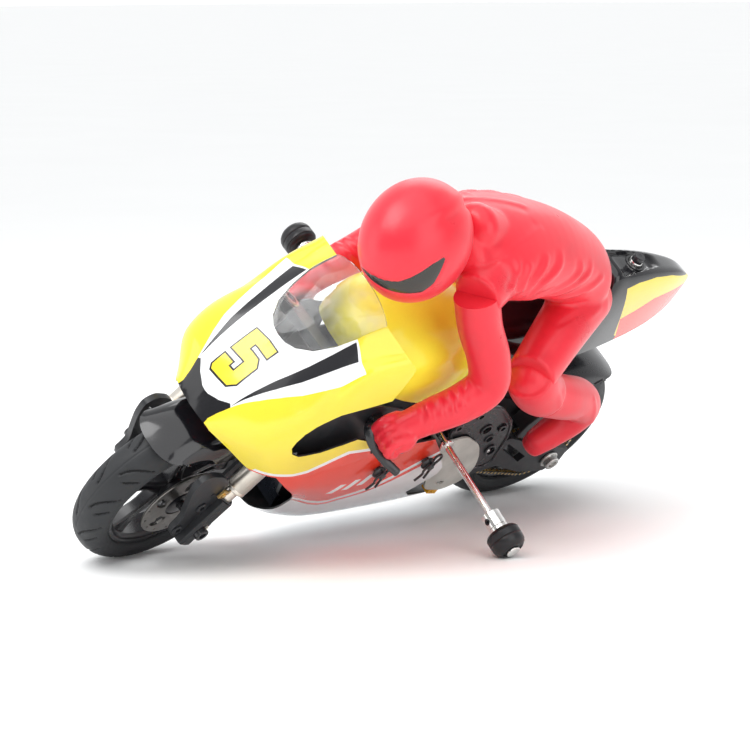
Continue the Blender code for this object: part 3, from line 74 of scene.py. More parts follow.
def bike_frame():
    """The upright bike's millimetres carried into the row's metres, from the rear wheel's and the steering's axes."""
    lateral = Vector(JOINTS["rear_wheel_spin"]["axis"]).normalized()
    stem = Vector(JOINTS["steering_turn"]["axis"])
    stem = (stem - lateral * stem.dot(lateral)).normalized()
    fore = lateral.cross(stem)
    ahead = fore * math.cos(RAKE) - stem * math.sin(RAKE)
    up = fore * math.sin(RAKE) + stem * math.cos(RAKE)
    origin = Vector(JOINTS["rear_wheel_spin"]["pos_m"]) - up * (REAR_R * MM)
    turn = Matrix((ahead, lateral, up)).transposed().to_4x4()
    return Matrix.Translation(origin) @ turn @ Matrix.Scale(MM, 4)


BIKE = bike_frame()
FORK = (BIKE @ Matrix.Translation(STEER_FOOT) @ Matrix.Rotation(math.radians(STEER_REST), 4, STEER_AXIS)
        @ Matrix.Translation(-STEER_FOOT))
STEERED = ("steering", "fork_slider", "front_wheel")
SIDES = ((1, "left"), (-1, "right"))


# ---------------------------------------------------------------- materials
class Look:
    """A node material whose coordinates are the bike's own millimetres, whatever it is put on."""

    def __init__(self, name, roughness=0.4, metallic=0, coat=0, coat_roughness=0.05, specular=0.5, ior=1.5,
                 sheen=0, transmission=0):
        self.material = bpy.data.materials.new(name)
        self.material.use_nodes = True
        self.tree = self.material.node_tree
        self.shader = self.tree.nodes["Principled BSDF"]
        for socket, value in (("Roughness", roughness), ("Metallic", metallic), ("Coat Weight", coat),
                              ("Coat Roughness", coat_roughness), ("Specular IOR Level", specular), ("IOR", ior),
                              ("Sheen Weight", sheen), ("Transmission Weight", transmission)):
            self.shader.inputs[socket].default_value = value
        place = self.node("ShaderNodeMapping", vector_type="TEXTURE")
        spot, turn, size = BIKE.decompose()
        place.inputs["Location"].default_value = spot
        place.inputs["Rotation"].default_value = turn.to_euler()
        place.inputs["Scale"].default_value = size
        self.tree.links.new(self.node("ShaderNodeTexCoord").outputs["Object"], place.inputs["Vector"])
        self.where = place.outputs["Vector"]

    def node(self, kind, **settings):
        made = self.tree.nodes.new(kind)
        for key, value in settings.items():
            setattr(made, key, value)
        return made

    def link(self, source, node, socket):
        self.tree.links.new(source, node.inputs[socket])
        return node

    def stretched(self, scale):
        """The coordinates made denser along each axis, for grain that runs one way."""
        made = self.node("ShaderNodeVectorMath", operation="MULTIPLY")
        self.link(self.where, made, 0)
        made.inputs[1].default_value = scale
        return made.outputs["Vector"]

    def noise(self, scale, detail=3, roughness=0.5, where=None, warp=0):
        made = self.node("ShaderNodeTexNoise")
        self.link(where or self.where, made, "Vector")
        made.inputs["Scale"].default_value = scale
        made.inputs["Detail"].default_value = detail
        made.inputs["Roughness"].default_value = roughness
        made.inputs["Distortion"].default_value = warp
        return made.outputs["Fac"]

    def fit(self, source, low, high, to_low=0, to_high=1):
        made = self.node("ShaderNodeMapRange")
        self.link(source, made, "Value")
        for socket, value in (("From Min", low), ("From Max", high), ("To Min", to_low), ("To Max", to_high)):
            made.inputs[socket].default_value = value
        return made.outputs["Result"]

    def math(self, operation, a, b):
        made = self.node("ShaderNodeMath", operation=operation)
        for i, value in enumerate((a, b)):
            if isinstance(value, (int, float)):
                made.inputs[i].default_value = value
            else:
                self.link(value, made, i)
        return made.outputs[0]

    def mix(self, amount, first, second):
        made = self.node("ShaderNodeMix", data_type="RGBA")
        self.link(amount, made, 0)
        for i, value in ((6, first), (7, second)):
            if isinstance(value, tuple):
                made.inputs[i].default_value = (*value, 1)
            else:
                self.link(value, made, i)
        return made.outputs[2]

    def colour(self, source):
        self.link(source, self.shader, "Base Color")

    def rough(self, source):
        self.link(source, self.shader, "Roughness")

    def bump(self, height, strength, distance=0.1):
        """Bump whose height runs from 0 to 1, at a depth in millimetres."""
        made = self.node("ShaderNodeBump")
        made.inputs["Strength"].default_value = strength
        made.inputs["Distance"].default_value = distance * MM
        previous = self.shader.inputs["Normal"].links
        if previous:
            self.link(previous[0].from_socket, made, "Normal")
        self.link(height, made, "Height")
        self.link(made.outputs["Normal"], self.shader, "Normal")


TARNISH = 0.5                            # how far handling marks darken bare metal
TWILL_PITCH = 1.6                        # millimetres


def shade(colour, factor):
    """A colour made darker or lighter."""
    return tuple(min(1, c * factor) for c in colour)


def paint(name, colour, roughness=0.16, coat=0.5, peel=0.25, dust=0.05, specular=0.5):
    """Sprayed gloss paint: a slight orange peel, soft drift of the colour and faint dust in the gloss."""
    look = Look(name, roughness=roughness, coat=coat, coat_roughness=0.04, specular=specular)
    drift = look.noise(0.035, 2)
    fine = look.noise(0.9, 4)
    both = look.fit(look.math("ADD", look.math("MULTIPLY", drift, 0.7), look.math("MULTIPLY", fine, 0.3)), 0.3, 0.7)
    look.colour(look.mix(both, shade(colour, 0.94), shade(colour, 1.03)))
    look.rough(look.fit(look.noise(0.16, 5, 0.65), 0.35, 0.75, roughness, roughness + dust))
    look.bump(look.noise(0.55, 2), peel, 0.02)
    return look


def moulded(name, colour, roughness, grain=0.5, wear=0.35, coat=0):
    """Moulded plastic: a fine spark-eroded grain, cloudy roughness and pale scuffs."""
    look = Look(name, roughness=roughness, coat=coat, coat_roughness=0.08)
    cloud = look.fit(look.noise(0.06, 4, 0.6), 0.35, 0.7)
    scuff = look.fit(look.noise(0.5, 6, 0.72, look.stretched((1, 0.35, 0.8)), 1.2), 0.62, 0.78)
    base = look.mix(cloud, shade(colour, 0.85), shade(colour, 1.18))
    look.colour(look.mix(look.math("MULTIPLY", scuff, wear), base, shade(colour, 1.9)))
    look.rough(look.fit(look.math("ADD", cloud, scuff), 0, 1.6, roughness - 0.07, roughness + 0.14))
    look.bump(look.noise(2.2, 3, 0.6), grain, 0.05)
    return look


def metal(name, colour, roughness=0.3, along=(0.25, 4, 4)):
    """Turned or drawn metal: hairlines along one way, with dull handling marks."""
    look = Look(name, roughness=roughness, metallic=1)
    hair = look.noise(1.3, 4, 0.6, look.stretched(along))
    marks = look.fit(look.noise(0.14, 5, 0.65), 0.4, 0.72)
    look.colour(look.mix(look.math("MULTIPLY", marks, TARNISH), shade(colour, 1.04), shade(colour, 0.72)))
    look.rough(look.fit(look.math("ADD", hair, look.math("MULTIPLY", marks, 0.5)), 0.2, 1.1, roughness - 0.08,
                        roughness + 0.14))
    look.bump(hair, 0.22, 0.015)
    return look


def vinyl(name, colour):
    """Soft red vinyl: satin, slightly waxy, finely pored, paler where it has been handled."""
    look = Look(name, roughness=0.36, specular=0.5, sheen=0.06)
    look.shader.inputs["Subsurface Weight"].default_value = 0.08
    look.shader.inputs["Subsurface Radius"].default_value = (1, 0.25, 0.2)
    look.shader.inputs["Subsurface Scale"].default_value = 0.003
    cloud = look.fit(look.noise(0.045, 4, 0.55), 0.3, 0.72)
    pores = look.noise(2.6, 3, 0.55)
    look.colour(look.mix(cloud, shade(colour, 0.92), shade(colour, 1.05)))
    look.rough(look.fit(look.math("ADD", cloud, look.math("MULTIPLY", pores, 0.4)), 0.2, 1.2, 0.27, 0.40))
    look.bump(pores, 0.18, 0.04)
    look.bump(look.noise(0.22, 3), 0.22, 0.12)
    return look


def rubber(name, colour, roughness=0.62):
    """Tyre rubber: dull, with patches of pale dust, and mould texture."""
    look = Look(name, roughness=roughness, specular=0.4)
    dust = look.fit(look.noise(0.11, 6, 0.68), 0.42, 0.75)
    look.colour(look.mix(look.math("MULTIPLY", dust, 0.6), colour, shade(colour, 2.1)))
    look.rough(look.fit(dust, 0, 1, roughness - 0.1, roughness + 0.18))
    look.bump(look.noise(1.9, 5, 0.65), 0.4, 0.06)
    return look


def weave(name, colour):
    """Moulded composite plate: a fine twill under a satin face."""
    look = Look(name, roughness=0.34, coat=0.25, coat_roughness=0.12)
    wave = look.node("ShaderNodeTexWave", wave_type="BANDS", bands_direction="DIAGONAL")
    look.link(look.where, wave, "Vector")
    wave.inputs["Scale"].default_value = 1 / TWILL_PITCH
    wave.inputs["Distortion"].default_value = 0.6
    look.colour(look.mix(wave.outputs["Fac"], shade(colour, 0.7), shade(colour, 1.5)))
    look.rough(look.fit(look.noise(0.3, 4), 0.3, 0.7, 0.28, 0.42))
    look.bump(wave.outputs["Fac"], 0.25, 0.04)
    return look


def shaded_white(name, top, bottom, high, low):
    """White paint that darkens to silver grey towards the belly, as painted shade on the underside."""
    look = Look(name, roughness=0.17, coat=0.55, coat_roughness=0.05)
    height = look.node("ShaderNodeSeparateXYZ")
    look.link(look.where, height, 0)
    # The fall from white to grey with height is painted shade on the underside.
    fade = look.fit(height.outputs["Z"], low, high)
    speck = look.noise(0.8, 4)
    look.colour(look.mix(look.math("ADD", fade, look.math("MULTIPLY", look.math("SUBTRACT", speck, 0.5), 0.12)),
                         bottom, top))
    look.rough(look.fit(look.noise(0.16, 5, 0.65), 0.35, 0.75, 0.16, 0.23))
    look.bump(look.noise(0.55, 2), 0.22, 0.02)
    return look


def clear_shell(name):
    """Thin clear polycarbonate, a little hazed and scratched."""
    look = Look(name, roughness=0.06, transmission=0.9, ior=1.08, specular=0.8, coat=0.5, coat_roughness=0.05)
    haze = look.fit(look.noise(0.09, 5, 0.6), 0.4, 0.8)
    look.colour(look.mix(haze, (0.975, 0.98, 0.98), (0.88, 0.90, 0.92)))
    look.link(look.fit(haze, 0, 1, 0.97, 0.86), look.shader, "Transmission Weight")
    scratch = look.fit(look.noise(1, 6, 0.7, look.stretched((0.15, 1.6, 1))), 0.6, 0.8)
    look.rough(look.fit(look.math("ADD", haze, scratch), 0, 1.6, 0.01, 0.035))
    look.bump(look.noise(0.12, 2), 0.05, 0.04)
    return look


YELLOW = (0.86, 0.69, 0.035)
# The tank's golden yellow, made lighter than its own paint: partly real colour, partly painted light against the
# rider's shadow on it.
LIFTED_TANK_YELLOW = (0.98, 0.89, 0.06)
RED_PAINT = (0.78, 0.045, 0.02)
VINYL_RED = (0.80, 0.022, 0.042)
LOOKS = {
    "yellow": paint("gloss_yellow", YELLOW),
    # Tank yellow lightened as painted light, to offset the rider's shadow.
    "tank": paint("gloss_golden_yellow", LIFTED_TANK_YELLOW, 0.2, 0.12, specular=0.3),
    "white": paint("gloss_white", (0.86, 0.87, 0.87)),
    "stripe": paint("gloss_stripe_black", (0.014, 0.014, 0.017), 0.2, 0.3),
    "black": paint("gloss_black", (0.006, 0.006, 0.008), 0.10, 0.35, 0.2, 0.08),
    "red": paint("gloss_red", RED_PAINT),
    # White that darkens to grey towards the belly as painted shade.
    "shaded_white": shaded_white("white_shaded_grey_below", (0.86, 0.86, 0.87), (0.60, 0.62, 0.64), 72, 34),
    "inside": moulded("bare_shell_inside", (0.02, 0.021, 0.024), 0.4, 0.3),
    "clear": clear_shell("clear_screen"),
    "vinyl": vinyl("red_vinyl", VINYL_RED),
    "visor": paint("smoked_visor", (0.022, 0.020, 0.015), 0.16, 0.3, 0.15, 0.1),
    # Darker rubber for the tread grooves: painted shade in the recesses.
    "groove": rubber("tyre_groove_shade", (0.006, 0.006, 0.007), 0.8),
    "rubber": rubber("tyre_rubber", (0.018, 0.019, 0.021)),
    "roller": rubber("roller_rubber", (0.012, 0.012, 0.014), 0.42),
    "plastic": moulded("black_nylon", (0.016, 0.017, 0.02), 0.42),
    "satin_black": moulded("satin_black_nylon", (0.013, 0.013, 0.016), 0.3, 0.3, 0.25, 0.3),
    "grey": moulded("pale_grey_nylon", (0.50, 0.50, 0.46), 0.42, 0.35, 0.3),
    "circuit": moulded("module_case", (0.03, 0.032, 0.04), 0.38, 0.4),
    "pack": moulded("pack_sleeve", (0.018, 0.021, 0.03), 0.32, 0.3, 0.3, 0.3),
    "amber": moulded("amber_nylon", (0.85, 0.42, 0.02), 0.35, 0.3, 0.2),
    "carbon": weave("black_composite", (0.02, 0.02, 0.023)),
    "steel": metal("satin_steel", (0.62, 0.61, 0.59)),
    "bright": metal("bright_steel", (0.80, 0.79, 0.77), 0.16),
    "dark_steel": metal("dark_steel", (0.16, 0.155, 0.15), 0.34),
    "champagne": metal("champagne_alloy", (0.74, 0.69, 0.62), 0.32, (4, 4, 0.25)),
    "gunmetal": metal("gunmetal", (0.30, 0.285, 0.27), 0.3),
    "brass": metal("brass", (0.78, 0.53, 0.20), 0.28),
}
LOOKS = {key: look.material for key, look in LOOKS.items()}


# ---------------------------------------------------------------- mesh helpers
def spline(points, count):
    """Evenly spaced points in parameter on a smooth curve through the given ones."""
    pts = [np.array(p, float) for p in points]
    pts = [2 * pts[0] - pts[1]] + pts + [2 * pts[-1] - pts[-2]]
    out = []
    for i in range(count):
        t = i / (count - 1) * (len(points) - 1)
        k = min(int(t), len(points) - 2)
        f = t - k
        a, b, c, d = pts[k:k + 4]
        out.append(0.5 * (2 * b + (c - a) * f + (2 * a - 5 * b + 4 * c - d) * f ** 2
                          + (3 * b - a - 3 * c + d) * f ** 3))
    return out


def frame_of(direction):
    """Two unit vectors square to a direction."""
    along = Vector(direction).normalized()
    guide = Vector((0, 0, 1)) if abs(along.z) < 0.9 else Vector((1, 0, 0))
    side = along.cross(guide).normalized()
    return side, along.cross(side).normalized()


def grown(verts, faces):
    """A mesh of these points and faces; a face drawn twice is left out."""
    work = bmesh.new()
    made = [work.verts.new(v) for v in verts]
    for face in faces:
        try:
            work.faces.new([made[i] for i in face])
        except ValueError:
            pass
    return work


def tidy(work):
    """Welds a closed body and turns its faces outwards."""
    bmesh.ops.remove_doubles(work, verts=work.verts, dist=0.001)
    bmesh.ops.recalc_face_normals(work, faces=work.faces)
    if work.calc_volume(signed=True) < 0:
        bmesh.ops.reverse_faces(work, faces=work.faces)
    return work


def ring(centre, side, up, wide, high, count):
    """Points round an ellipse."""
    steps = [2 * math.pi * i / count for i in range(count)]
    return [centre + side * (wide * math.cos(t)) + up * (high * math.sin(t)) for t in steps]


def loft(sections, closed=False):
    """A closed body through sections of equally many points; closed joins the last section to the first."""
    count = len(sections[0])
    verts = [p for section in sections for p in section]
    faces = []
    for i in range(len(sections) if closed else len(sections) - 1):
        a, b = i * count, (i + 1) % len(sections) * count
        for j in range(count):
            k = (j + 1) % count
            faces.append((a + j, a + k, b + k, b + j))
    if not closed:
        faces.append(tuple(range(count)))
        faces.append(tuple(range(len(verts) - count, len(verts))))
    return tidy(grown(verts, faces))


def turned(profile, centre, axis, count):
    """A turned piece: profile is a closed loop of (distance along the axis, radius)."""
    centre, axis = Vector(centre), Vector(axis).normalized()
    side, up = frame_of(axis)
    sections = []
    for i in range(count):
        t = 2 * math.pi * i / count
        out = side * math.cos(t) + up * math.sin(t)
        sections.append([centre + axis * a + out * r for a, r in profile])
    return loft(sections, closed=True)


def rod(start, end, radius, count, soft=0):
    """A round bar between two points, its ends softened by a small chamfer."""
    start, end = Vector(start), Vector(end)
    side, up = frame_of(end - start)
    along = (end - start).normalized()
    rows = [(start, radius - soft), (start + along * soft, radius), (end - along * soft, radius), (end, radius - soft)]
    if not soft:
        rows = [rows[0], rows[-1]]
    return loft([ring(p, side, up, r, r, count) for p, r in rows])


def tube(start, end, outer, inner, count, soft):
    """A sleeve between two points."""
    start, end = Vector(start), Vector(end)
    length = (end - start).length
    profile = [(0, inner), (length, inner), (length, outer - soft), (length - soft, outer), (soft, outer),
               (0, outer - soft)]
    return turned(profile, start, end - start, count)


def slab(outline, y_low, y_high):
    """A flat plate whose outline is given in the side view."""
    low = [Vector((x, y_low, z)) for x, z in outline]
    high = [Vector((x, y_high, z)) for x, z in outline]
    return loft([low, high])


def block(centre, size, along, up=(0, 0, 1)):
    """A box: its size is given along its length, across it and up it."""
    along = Vector(along).normalized()
    up = Vector(up)
    up = (up - along * up.dot(along)).normalized()
    side = up.cross(along)
    half = Vector(size) / 2
    corners = ((-1, -1), (1, -1), (1, 1), (-1, 1))
    rows = [[Vector(centre) + along * (half.x * s) + side * (half.y * a) + up * (half.z * b) for a, b in corners]
            for s in (-1, 1)]
    return loft(rows)


def swept(path, radius, count, closed=False):
    """A round wire along a path, its side vector carried along so that it doesn't twist."""
    points = [Vector(p) for p in path]
    side = None
    sections = []
    last = len(points) - 1
    for i, point in enumerate(points):
        before = points[i - 1] if i or closed else points[i]
        after = points[(i + 1) % len(points)] if i < last or closed else points[i]
        along = (after - before).normalized()
        side = frame_of(along)[0] if side is None else (side - along * side.dot(along)).normalized()
        sections.append(ring(point, side, along.cross(side), radius, radius, count))
    return loft(sections, closed)


def limb(stations, count, caps):
    """A soft form along a spine, round-ended where it has caps: stations are (x, y, z, half width, half height)."""
    points = [Vector(s[:3]) for s in stations]
    sections = []
    last = len(points) - 1
    side = LATERAL
    for i, (point, station) in enumerate(zip(points, stations)):
        along = (points[min(i + 1, last)] - points[max(i - 1, 0)]).normalized()
        side = (side - along * side.dot(along)).normalized()
        up = side.cross(along).normalized()
        wide, high = station[3], station[4]
        if caps and i in (0, last):
            reach = min(wide, high) * (-1 if i == 0 else 1)
            steps = [k * math.pi / 2 / (caps + 0.35) for k in range(caps + 1)]
            if i == 0:
                steps = steps[::-1]
            for t in steps:
                shift = along * (reach * math.sin(t) * 0.8)
                sections.append(ring(point + shift, side, up, wide * math.cos(t), high * math.cos(t), count))
        else:
            sections.append(ring(point, side, up, wide, high, count))
    return loft(sections)


def gathered(*parts):
    """Several bodies in one mesh."""
    base = parts[0]
    for part in parts[1:]:
        mesh = bpy.data.meshes.new("part")
        part.to_mesh(mesh)
        part.free()
        base.from_mesh(mesh)
        bpy.data.meshes.remove(mesh)
    return base


def as_object(work):
    """A temporary object that carries a mesh, for modifiers to work on."""
    mesh = bpy.data.meshes.new("form")
    work.to_mesh(mesh)
    work.free()
    made = bpy.data.objects.new("form", mesh)
    bpy.context.scene.collection.objects.link(made)
    return made


def from_object(made):
    """The evaluated mesh of a temporary object, which is used up."""
    graph = bpy.context.evaluated_depsgraph_get()
    mesh = bpy.data.meshes.new_from_object(made.evaluated_get(graph))
    work = bmesh.new()
    work.from_mesh(mesh)
    bpy.data.meshes.remove(mesh)
    bpy.data.objects.remove(made, do_unlink=True)
    return work


def carved(base, tools):
    """The base with each tool cut out of it."""
    made = as_object(base)
    others = [as_object(tool) for tool in tools]
    for other in others:
        change = made.modifiers.new("cut", "BOOLEAN")
        change.operation = "DIFFERENCE"
        change.object = other
    result = from_object(made)
    for other in others:
        bpy.data.objects.remove(other, do_unlink=True)
    return result


def inside(points, outline):
    """Which of these 2-D points lie in the outline."""
    x, y = points[:, 0], points[:, 1]
    hit = np.zeros(len(points), bool)
    for (x0, y0), (x1, y1) in zip(outline, outline[1:] + outline[:1]):
        if y0 == y1:
            continue
        cross = (y0 > y) != (y1 > y)
        hit ^= cross & (x < (x1 - x0) * (y - y0) / (y1 - y0) + x0)
    return hit


CUT_REACH = 4.5                          # faces whose middles are nearer than this to a line are cut by it
SLIVER = 0.04                            # cuts leave edges shorter than this, which would crease the shading


def scored(work, outline, drop, where):
    """Cuts a mesh along an outline seen along the dropped axis (0, 1 or 2), and returns the faces inside it."""
    keep = [i for i in range(3) if i != drop]
    for a, b in zip(outline, outline[1:] + outline[:1]):
        start, end = np.array(a, float), np.array(b, float)
        length = np.linalg.norm(end - start)
        if length < 1e-6:
            continue
        along = (end - start) / length
        near = []
        for face in work.faces:
            middle = face.calc_center_median()
            if not where(middle):
                continue
            offset = np.array((middle[keep[0]], middle[keep[1]])) - start
            run = offset @ along
            apart = abs(along[0] * offset[1] - along[1] * offset[0])
            if -CUT_REACH < run < length + CUT_REACH and apart < CUT_REACH:
                near.append(face)
        if not near:
            continue
        normal = [0, 0, 0]
        normal[keep[0]], normal[keep[1]] = -along[1], along[0]
        spot = [0, 0, 0]
        spot[keep[0]], spot[keep[1]] = start
        geometry = near + list({e for f in near for e in f.edges}) + list({v for f in near for v in f.verts})
        bmesh.ops.bisect_plane(work, geom=geometry, dist=1e-4, plane_co=spot, plane_no=normal)
    faces = [f for f in work.faces if where(f.calc_center_median())]
    middles = np.array([f.calc_center_median() for f in faces]).reshape(-1, 3)[:, keep]
    return [f for f, hit in zip(faces, inside(middles, outline)) if hit]


def trimmed(work, outline, drop, where, keep_inside=False):
    """Cuts away what lies in the outline, or what lies outside it."""
    hit = scored(work, outline, drop, where)
    if keep_inside:
        chosen = set(hit)
        hit = [f for f in work.faces if where(f.calc_center_median()) and f not in chosen]
    bmesh.ops.delete(work, geom=hit, context="FACES")


def painted(work, outline, drop, index, where):
    """Gives what lies in the outline another of the piece's looks."""
    for face in scored(work, outline, drop, where):
        face.material_index = index


def grid_faces(rows, cols):
    """Quads over a grid of points that are given row by row."""
    return [(i * cols + j, i * cols + j + 1, (i + 1) * cols + j + 1, (i + 1) * cols + j)
            for i in range(rows - 1) for j in range(cols - 1)]


def turn_over(work, face, way):
    """Reverses all the faces if this one looks against the way it should."""
    if face.normal.dot(way) < 0:
        bmesh.ops.reverse_faces(work, faces=work.faces)


def skin_sheet(ribs, along, across, lift=None):
    """The outer face of a shell through ribs given from the centre line to the left edge, mirrored to the right."""
    half = [spline(rib, across + 1) for rib in ribs]
    lines = [spline([rib[j] for rib in half], along + 1) for j in range(across + 1)]
    grid = np.array([[lines[abs(j)][i] * (1, 1 if j >= 0 else -1, 1) for j in range(-across, across + 1)]
                     for i in range(along + 1)])
    grid[:, across, 1] = 0
    du, dv = np.gradient(grid, axis=0), np.gradient(grid, axis=1)
    normal = np.cross(du, dv)
    normal /= np.maximum(np.linalg.norm(normal, axis=2, keepdims=True), 1e-9)
    if np.sum(normal * (grid - grid.reshape(-1, 3).mean(0))) < 0:
        normal = -normal
    if lift is not None:
        grid = grid + normal * np.array([[lift(p) for p in row] for row in grid])[..., None]
    rows, cols = grid.shape[:2]
    work = grown([Vector(p) for p in grid.reshape(-1, 3)], grid_faces(rows, cols))
    work.normal_update()
    work.faces.ensure_lookup_table()
    turn_over(work, work.faces[len(work.faces) // 2], Vector(normal[rows // 2, cols // 2]))
    return work


def piece(name, body, work, finish, stands_for=None, smooth=38, bevel=0, thick=0):
    """Puts a mesh drawn in bike millimetres into the scene and on its body.

    work is one mesh or a list of them, and finish is one look or a list of looks. A sheet is made thick inwards, and
    its wall takes the last look.
    """
    if isinstance(work, list):
        work = gathered(*work)
    looks = [finish] if isinstance(finish, str) else finish
    if thick:
        bmesh.ops.dissolve_degenerate(work, dist=SLIVER, edges=work.edges)
    mesh = bpy.data.meshes.new(name)
    work.to_mesh(mesh)
    work.free()
    mesh.transform(FORK if body in STEERED else BIKE)
    made = bpy.data.objects.new(name, mesh)
    bpy.context.scene.collection.objects.link(made)
    for key in looks:
        mesh.materials.append(LOOKS[key])
    mesh.shade_smooth()
    mesh.set_sharp_from_angle(angle=math.radians(smooth))
    if thick:
        uses = np.zeros(len(mesh.loops), np.int32)
        mesh.loops.foreach_get("edge_index", uses)
        for index in np.flatnonzero(np.bincount(uses, minlength=len(mesh.edges)) == 1):
            mesh.edges[int(index)].use_edge_sharp = True
        wall = made.modifiers.new("wall", "SOLIDIFY")
        wall.thickness = thick * MM
        wall.offset = -1
        wall.use_even_offset = False
        wall.material_offset = len(mesh.materials) - 1
        wall.material_offset_rim = len(mesh.materials) - 1
    if bevel:
        soften(made, bevel)
    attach(made, body)
    if stands_for:
        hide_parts(stands_for)


def soften(made, width):
    """Rounds the hard edges a little, so that they catch the light."""
    edge = made.modifiers.new("edge", "BEVEL")
    edge.width = width * MM
    edge.segments = 2
    edge.limit_method = "ANGLE"
    edge.angle_limit = math.radians(32)
    edge.harden_normals = True
    edge.use_clamp_overlap = True
    edge.loop_slide = False


def dress(node, finish, bevel):
    """Gives a carried-over CAD node its look and softened edges."""
    made = NODES[node]
    made.data.materials.clear()
    made.data.materials.append(LOOKS[finish])
    made.data.shade_smooth()
    made.data.set_sharp_from_angle(angle=math.radians(38))
    soften(made, bevel)


def mirrored(outline):
    """A half outline in (x, y), from the centre line and back to it, closed by its mirror image."""
    return list(outline) + [(x, -y) for x, y in reversed(outline) if abs(y) > 1e-6]


# ---------------------------------------------------------------- setting: camera, floor and light
# Where the photograph was taken from, in bike millimetres, and the camera's axes; all fitted to the photograph.
CAMERA_EYE = Vector((1193.376, 654.395, 1034.279))
CAMERA_RIGHT = Vector((-0.728502, 0.511128, 0.456107))
CAMERA_UP = Vector((-0.108549, -0.743524, 0.659840))
CAMERA_LENS = 128.47
FLOOR_HALF = 60                        # metres
SOFTBOXES = (  # name, metres towards the camera, to its right and up, side of the square, watts
    ("key_softbox", 0.55, -0.65, 1.10, 0.8, 8), ("fill_softbox", 0.95, 0.75, 0.50, 0.9, 4.5),
    ("back_softbox", -0.90, 0.20, 1.05, 0.9, 4), ("side_softbox", 0.25, -1.35, 0.40, 0.8, 2.5))


def setting():
    """The camera at the bike's left front, a plain pale floor and soft light from all round."""
    scene = bpy.context.scene
    scene.view_settings.view_transform = "Standard"
    eye = BIKE @ CAMERA_EYE
    turn = BIKE.to_3x3()
    right = (turn @ CAMERA_RIGHT).normalized()
    up = (turn @ CAMERA_UP).normalized()
    back = right.cross(up)
    camera = bpy.data.objects.new("camera", bpy.data.cameras.new("camera"))
    scene.collection.objects.link(camera)
    camera.matrix_world = Matrix.Translation(eye) @ Matrix((right, up, back)).transposed().to_4x4()
    camera.data.sensor_width, camera.data.lens = 36, CAMERA_LENS
    camera.data.clip_start, camera.data.clip_end = 0.05, 300
    scene.camera = camera

    corners = [Vector((x * FLOOR_HALF, y * FLOOR_HALF, 0)) for x, y in ((-1, -1), (1, -1), (1, 1), (-1, 1))]
    floor = grown(corners, [(0, 1, 2, 3)])
    mesh = bpy.data.meshes.new("floor")
    floor.to_mesh(mesh)
    floor.free()
    ground = bpy.data.objects.new("floor", mesh)
    scene.collection.objects.link(ground)
    look = Look("floor_paper", roughness=0.85, specular=0.2)
    look.colour(look.mix(look.noise(0.004, 3), (0.93, 0.935, 0.935), (0.965, 0.97, 0.97)))
    mesh.materials.append(look.material)

    # The surroundings are brighter where the camera looks than behind it, so that dark parts keep dark reflections.
    world = bpy.data.worlds.new("studio")
    scene.world = world
    world.use_nodes = True
    tree = world.node_tree
    backdrop = tree.nodes["Background"]
    backdrop.inputs["Color"].default_value = (0.98, 0.99, 1, 1)
    facing = tree.nodes.new("ShaderNodeVectorMath")
    facing.operation = "DOT_PRODUCT"
    facing.inputs[1].default_value = -back
    tree.links.new(tree.nodes.new("ShaderNodeTexCoord").outputs["Generated"], facing.inputs[0])
    fall = tree.nodes.new("ShaderNodeMapRange")
    tree.links.new(facing.outputs["Value"], fall.inputs["Value"])
    for socket, value in (("From Min", -0.3), ("From Max", 0.75), ("To Min", 0.42), ("To Max", 1.12)):
        fall.inputs[socket].default_value = value
    tree.links.new(fall.outputs["Result"], backdrop.inputs["Strength"])
    sun = bpy.data.lights.new("overhead_sun", "SUN")
    sun.energy, sun.angle = 1.3, math.radians(70)
    high = bpy.data.objects.new("overhead_sun", sun)
    scene.collection.objects.link(high)
    high.rotation_euler = Vector((0.35, 0.25, 1)).to_track_quat("Z", "Y").to_euler()
    centre = Vector((0, 0, 0.08))
    toward = Vector((back.x, back.y, 0)).normalized()
    aside = Vector((right.x, right.y, 0)).normalized()
    for name, ahead, across, height, size, power in SOFTBOXES:
        spot = toward * ahead + aside * across + Vector((0, 0, height))
        lamp = bpy.data.lights.new(name, "AREA")
        lamp.shape, lamp.size, lamp.energy = "SQUARE", size, power
        made = bpy.data.objects.new(name, lamp)
        scene.collection.objects.link(made)
        made.location = spot
        made.rotation_euler = (centre - spot).to_track_quat("-Z", "Y").to_euler()


setting()

# ---------------------------------------------------------------- bodywork
SEAM = [(300, 112), (268, 111), (242, 108), (211, 115), (200, 119), (170, 121),
        (120, 122.5)]
NOSE_RIBS = [
    [(302, 0, 127), (302, 5, 127.2), (302, 9, 127.4), (301.8, 12, 127.6), (301.4, 14, 127.6), (300.5, 16.5, 127),
     (299.5, 18.5, 126)],
    [(297, 0, 138.3), (296.6, 9, 138.4), (295.8, 17, 138), (294.5, 24, 135.5), (293, 27.5, 130), (291, 28.5, 125),
     (289, 28.5, 120)],
    [(290, 0, 151), (290, 13, 151), (289, 26, 149), (287.5, 36, 144), (285, 41, 136), (281.5, 40, 125),
     (277, 37, 112)],
    [(280, 0, 165), (279.5, 15, 164), (279, 31, 160), (277, 43, 152), (274, 47, 140), (269, 46, 122),
     (261, 43, 103)],
    [(268.4, 0, 177.4), (268, 15, 175.5), (266, 31, 171), (263, 45, 161.5), (259, 49.5, 146), (252, 48.5, 124),
     (242, 45, 99)],
    [(243, 0, 199), (243, 13, 198.5), (241, 26, 197), (242, 35.5, 190), (241, 46, 183), (233, 50, 150),
     (221, 46, 99)],
    [(222, 0, 209), (223, 13, 208.8), (224, 26.5, 206.7), (219, 39, 201), (213, 49.6, 195.4), (205, 51, 155),
     (194, 46.5, 99)],
]
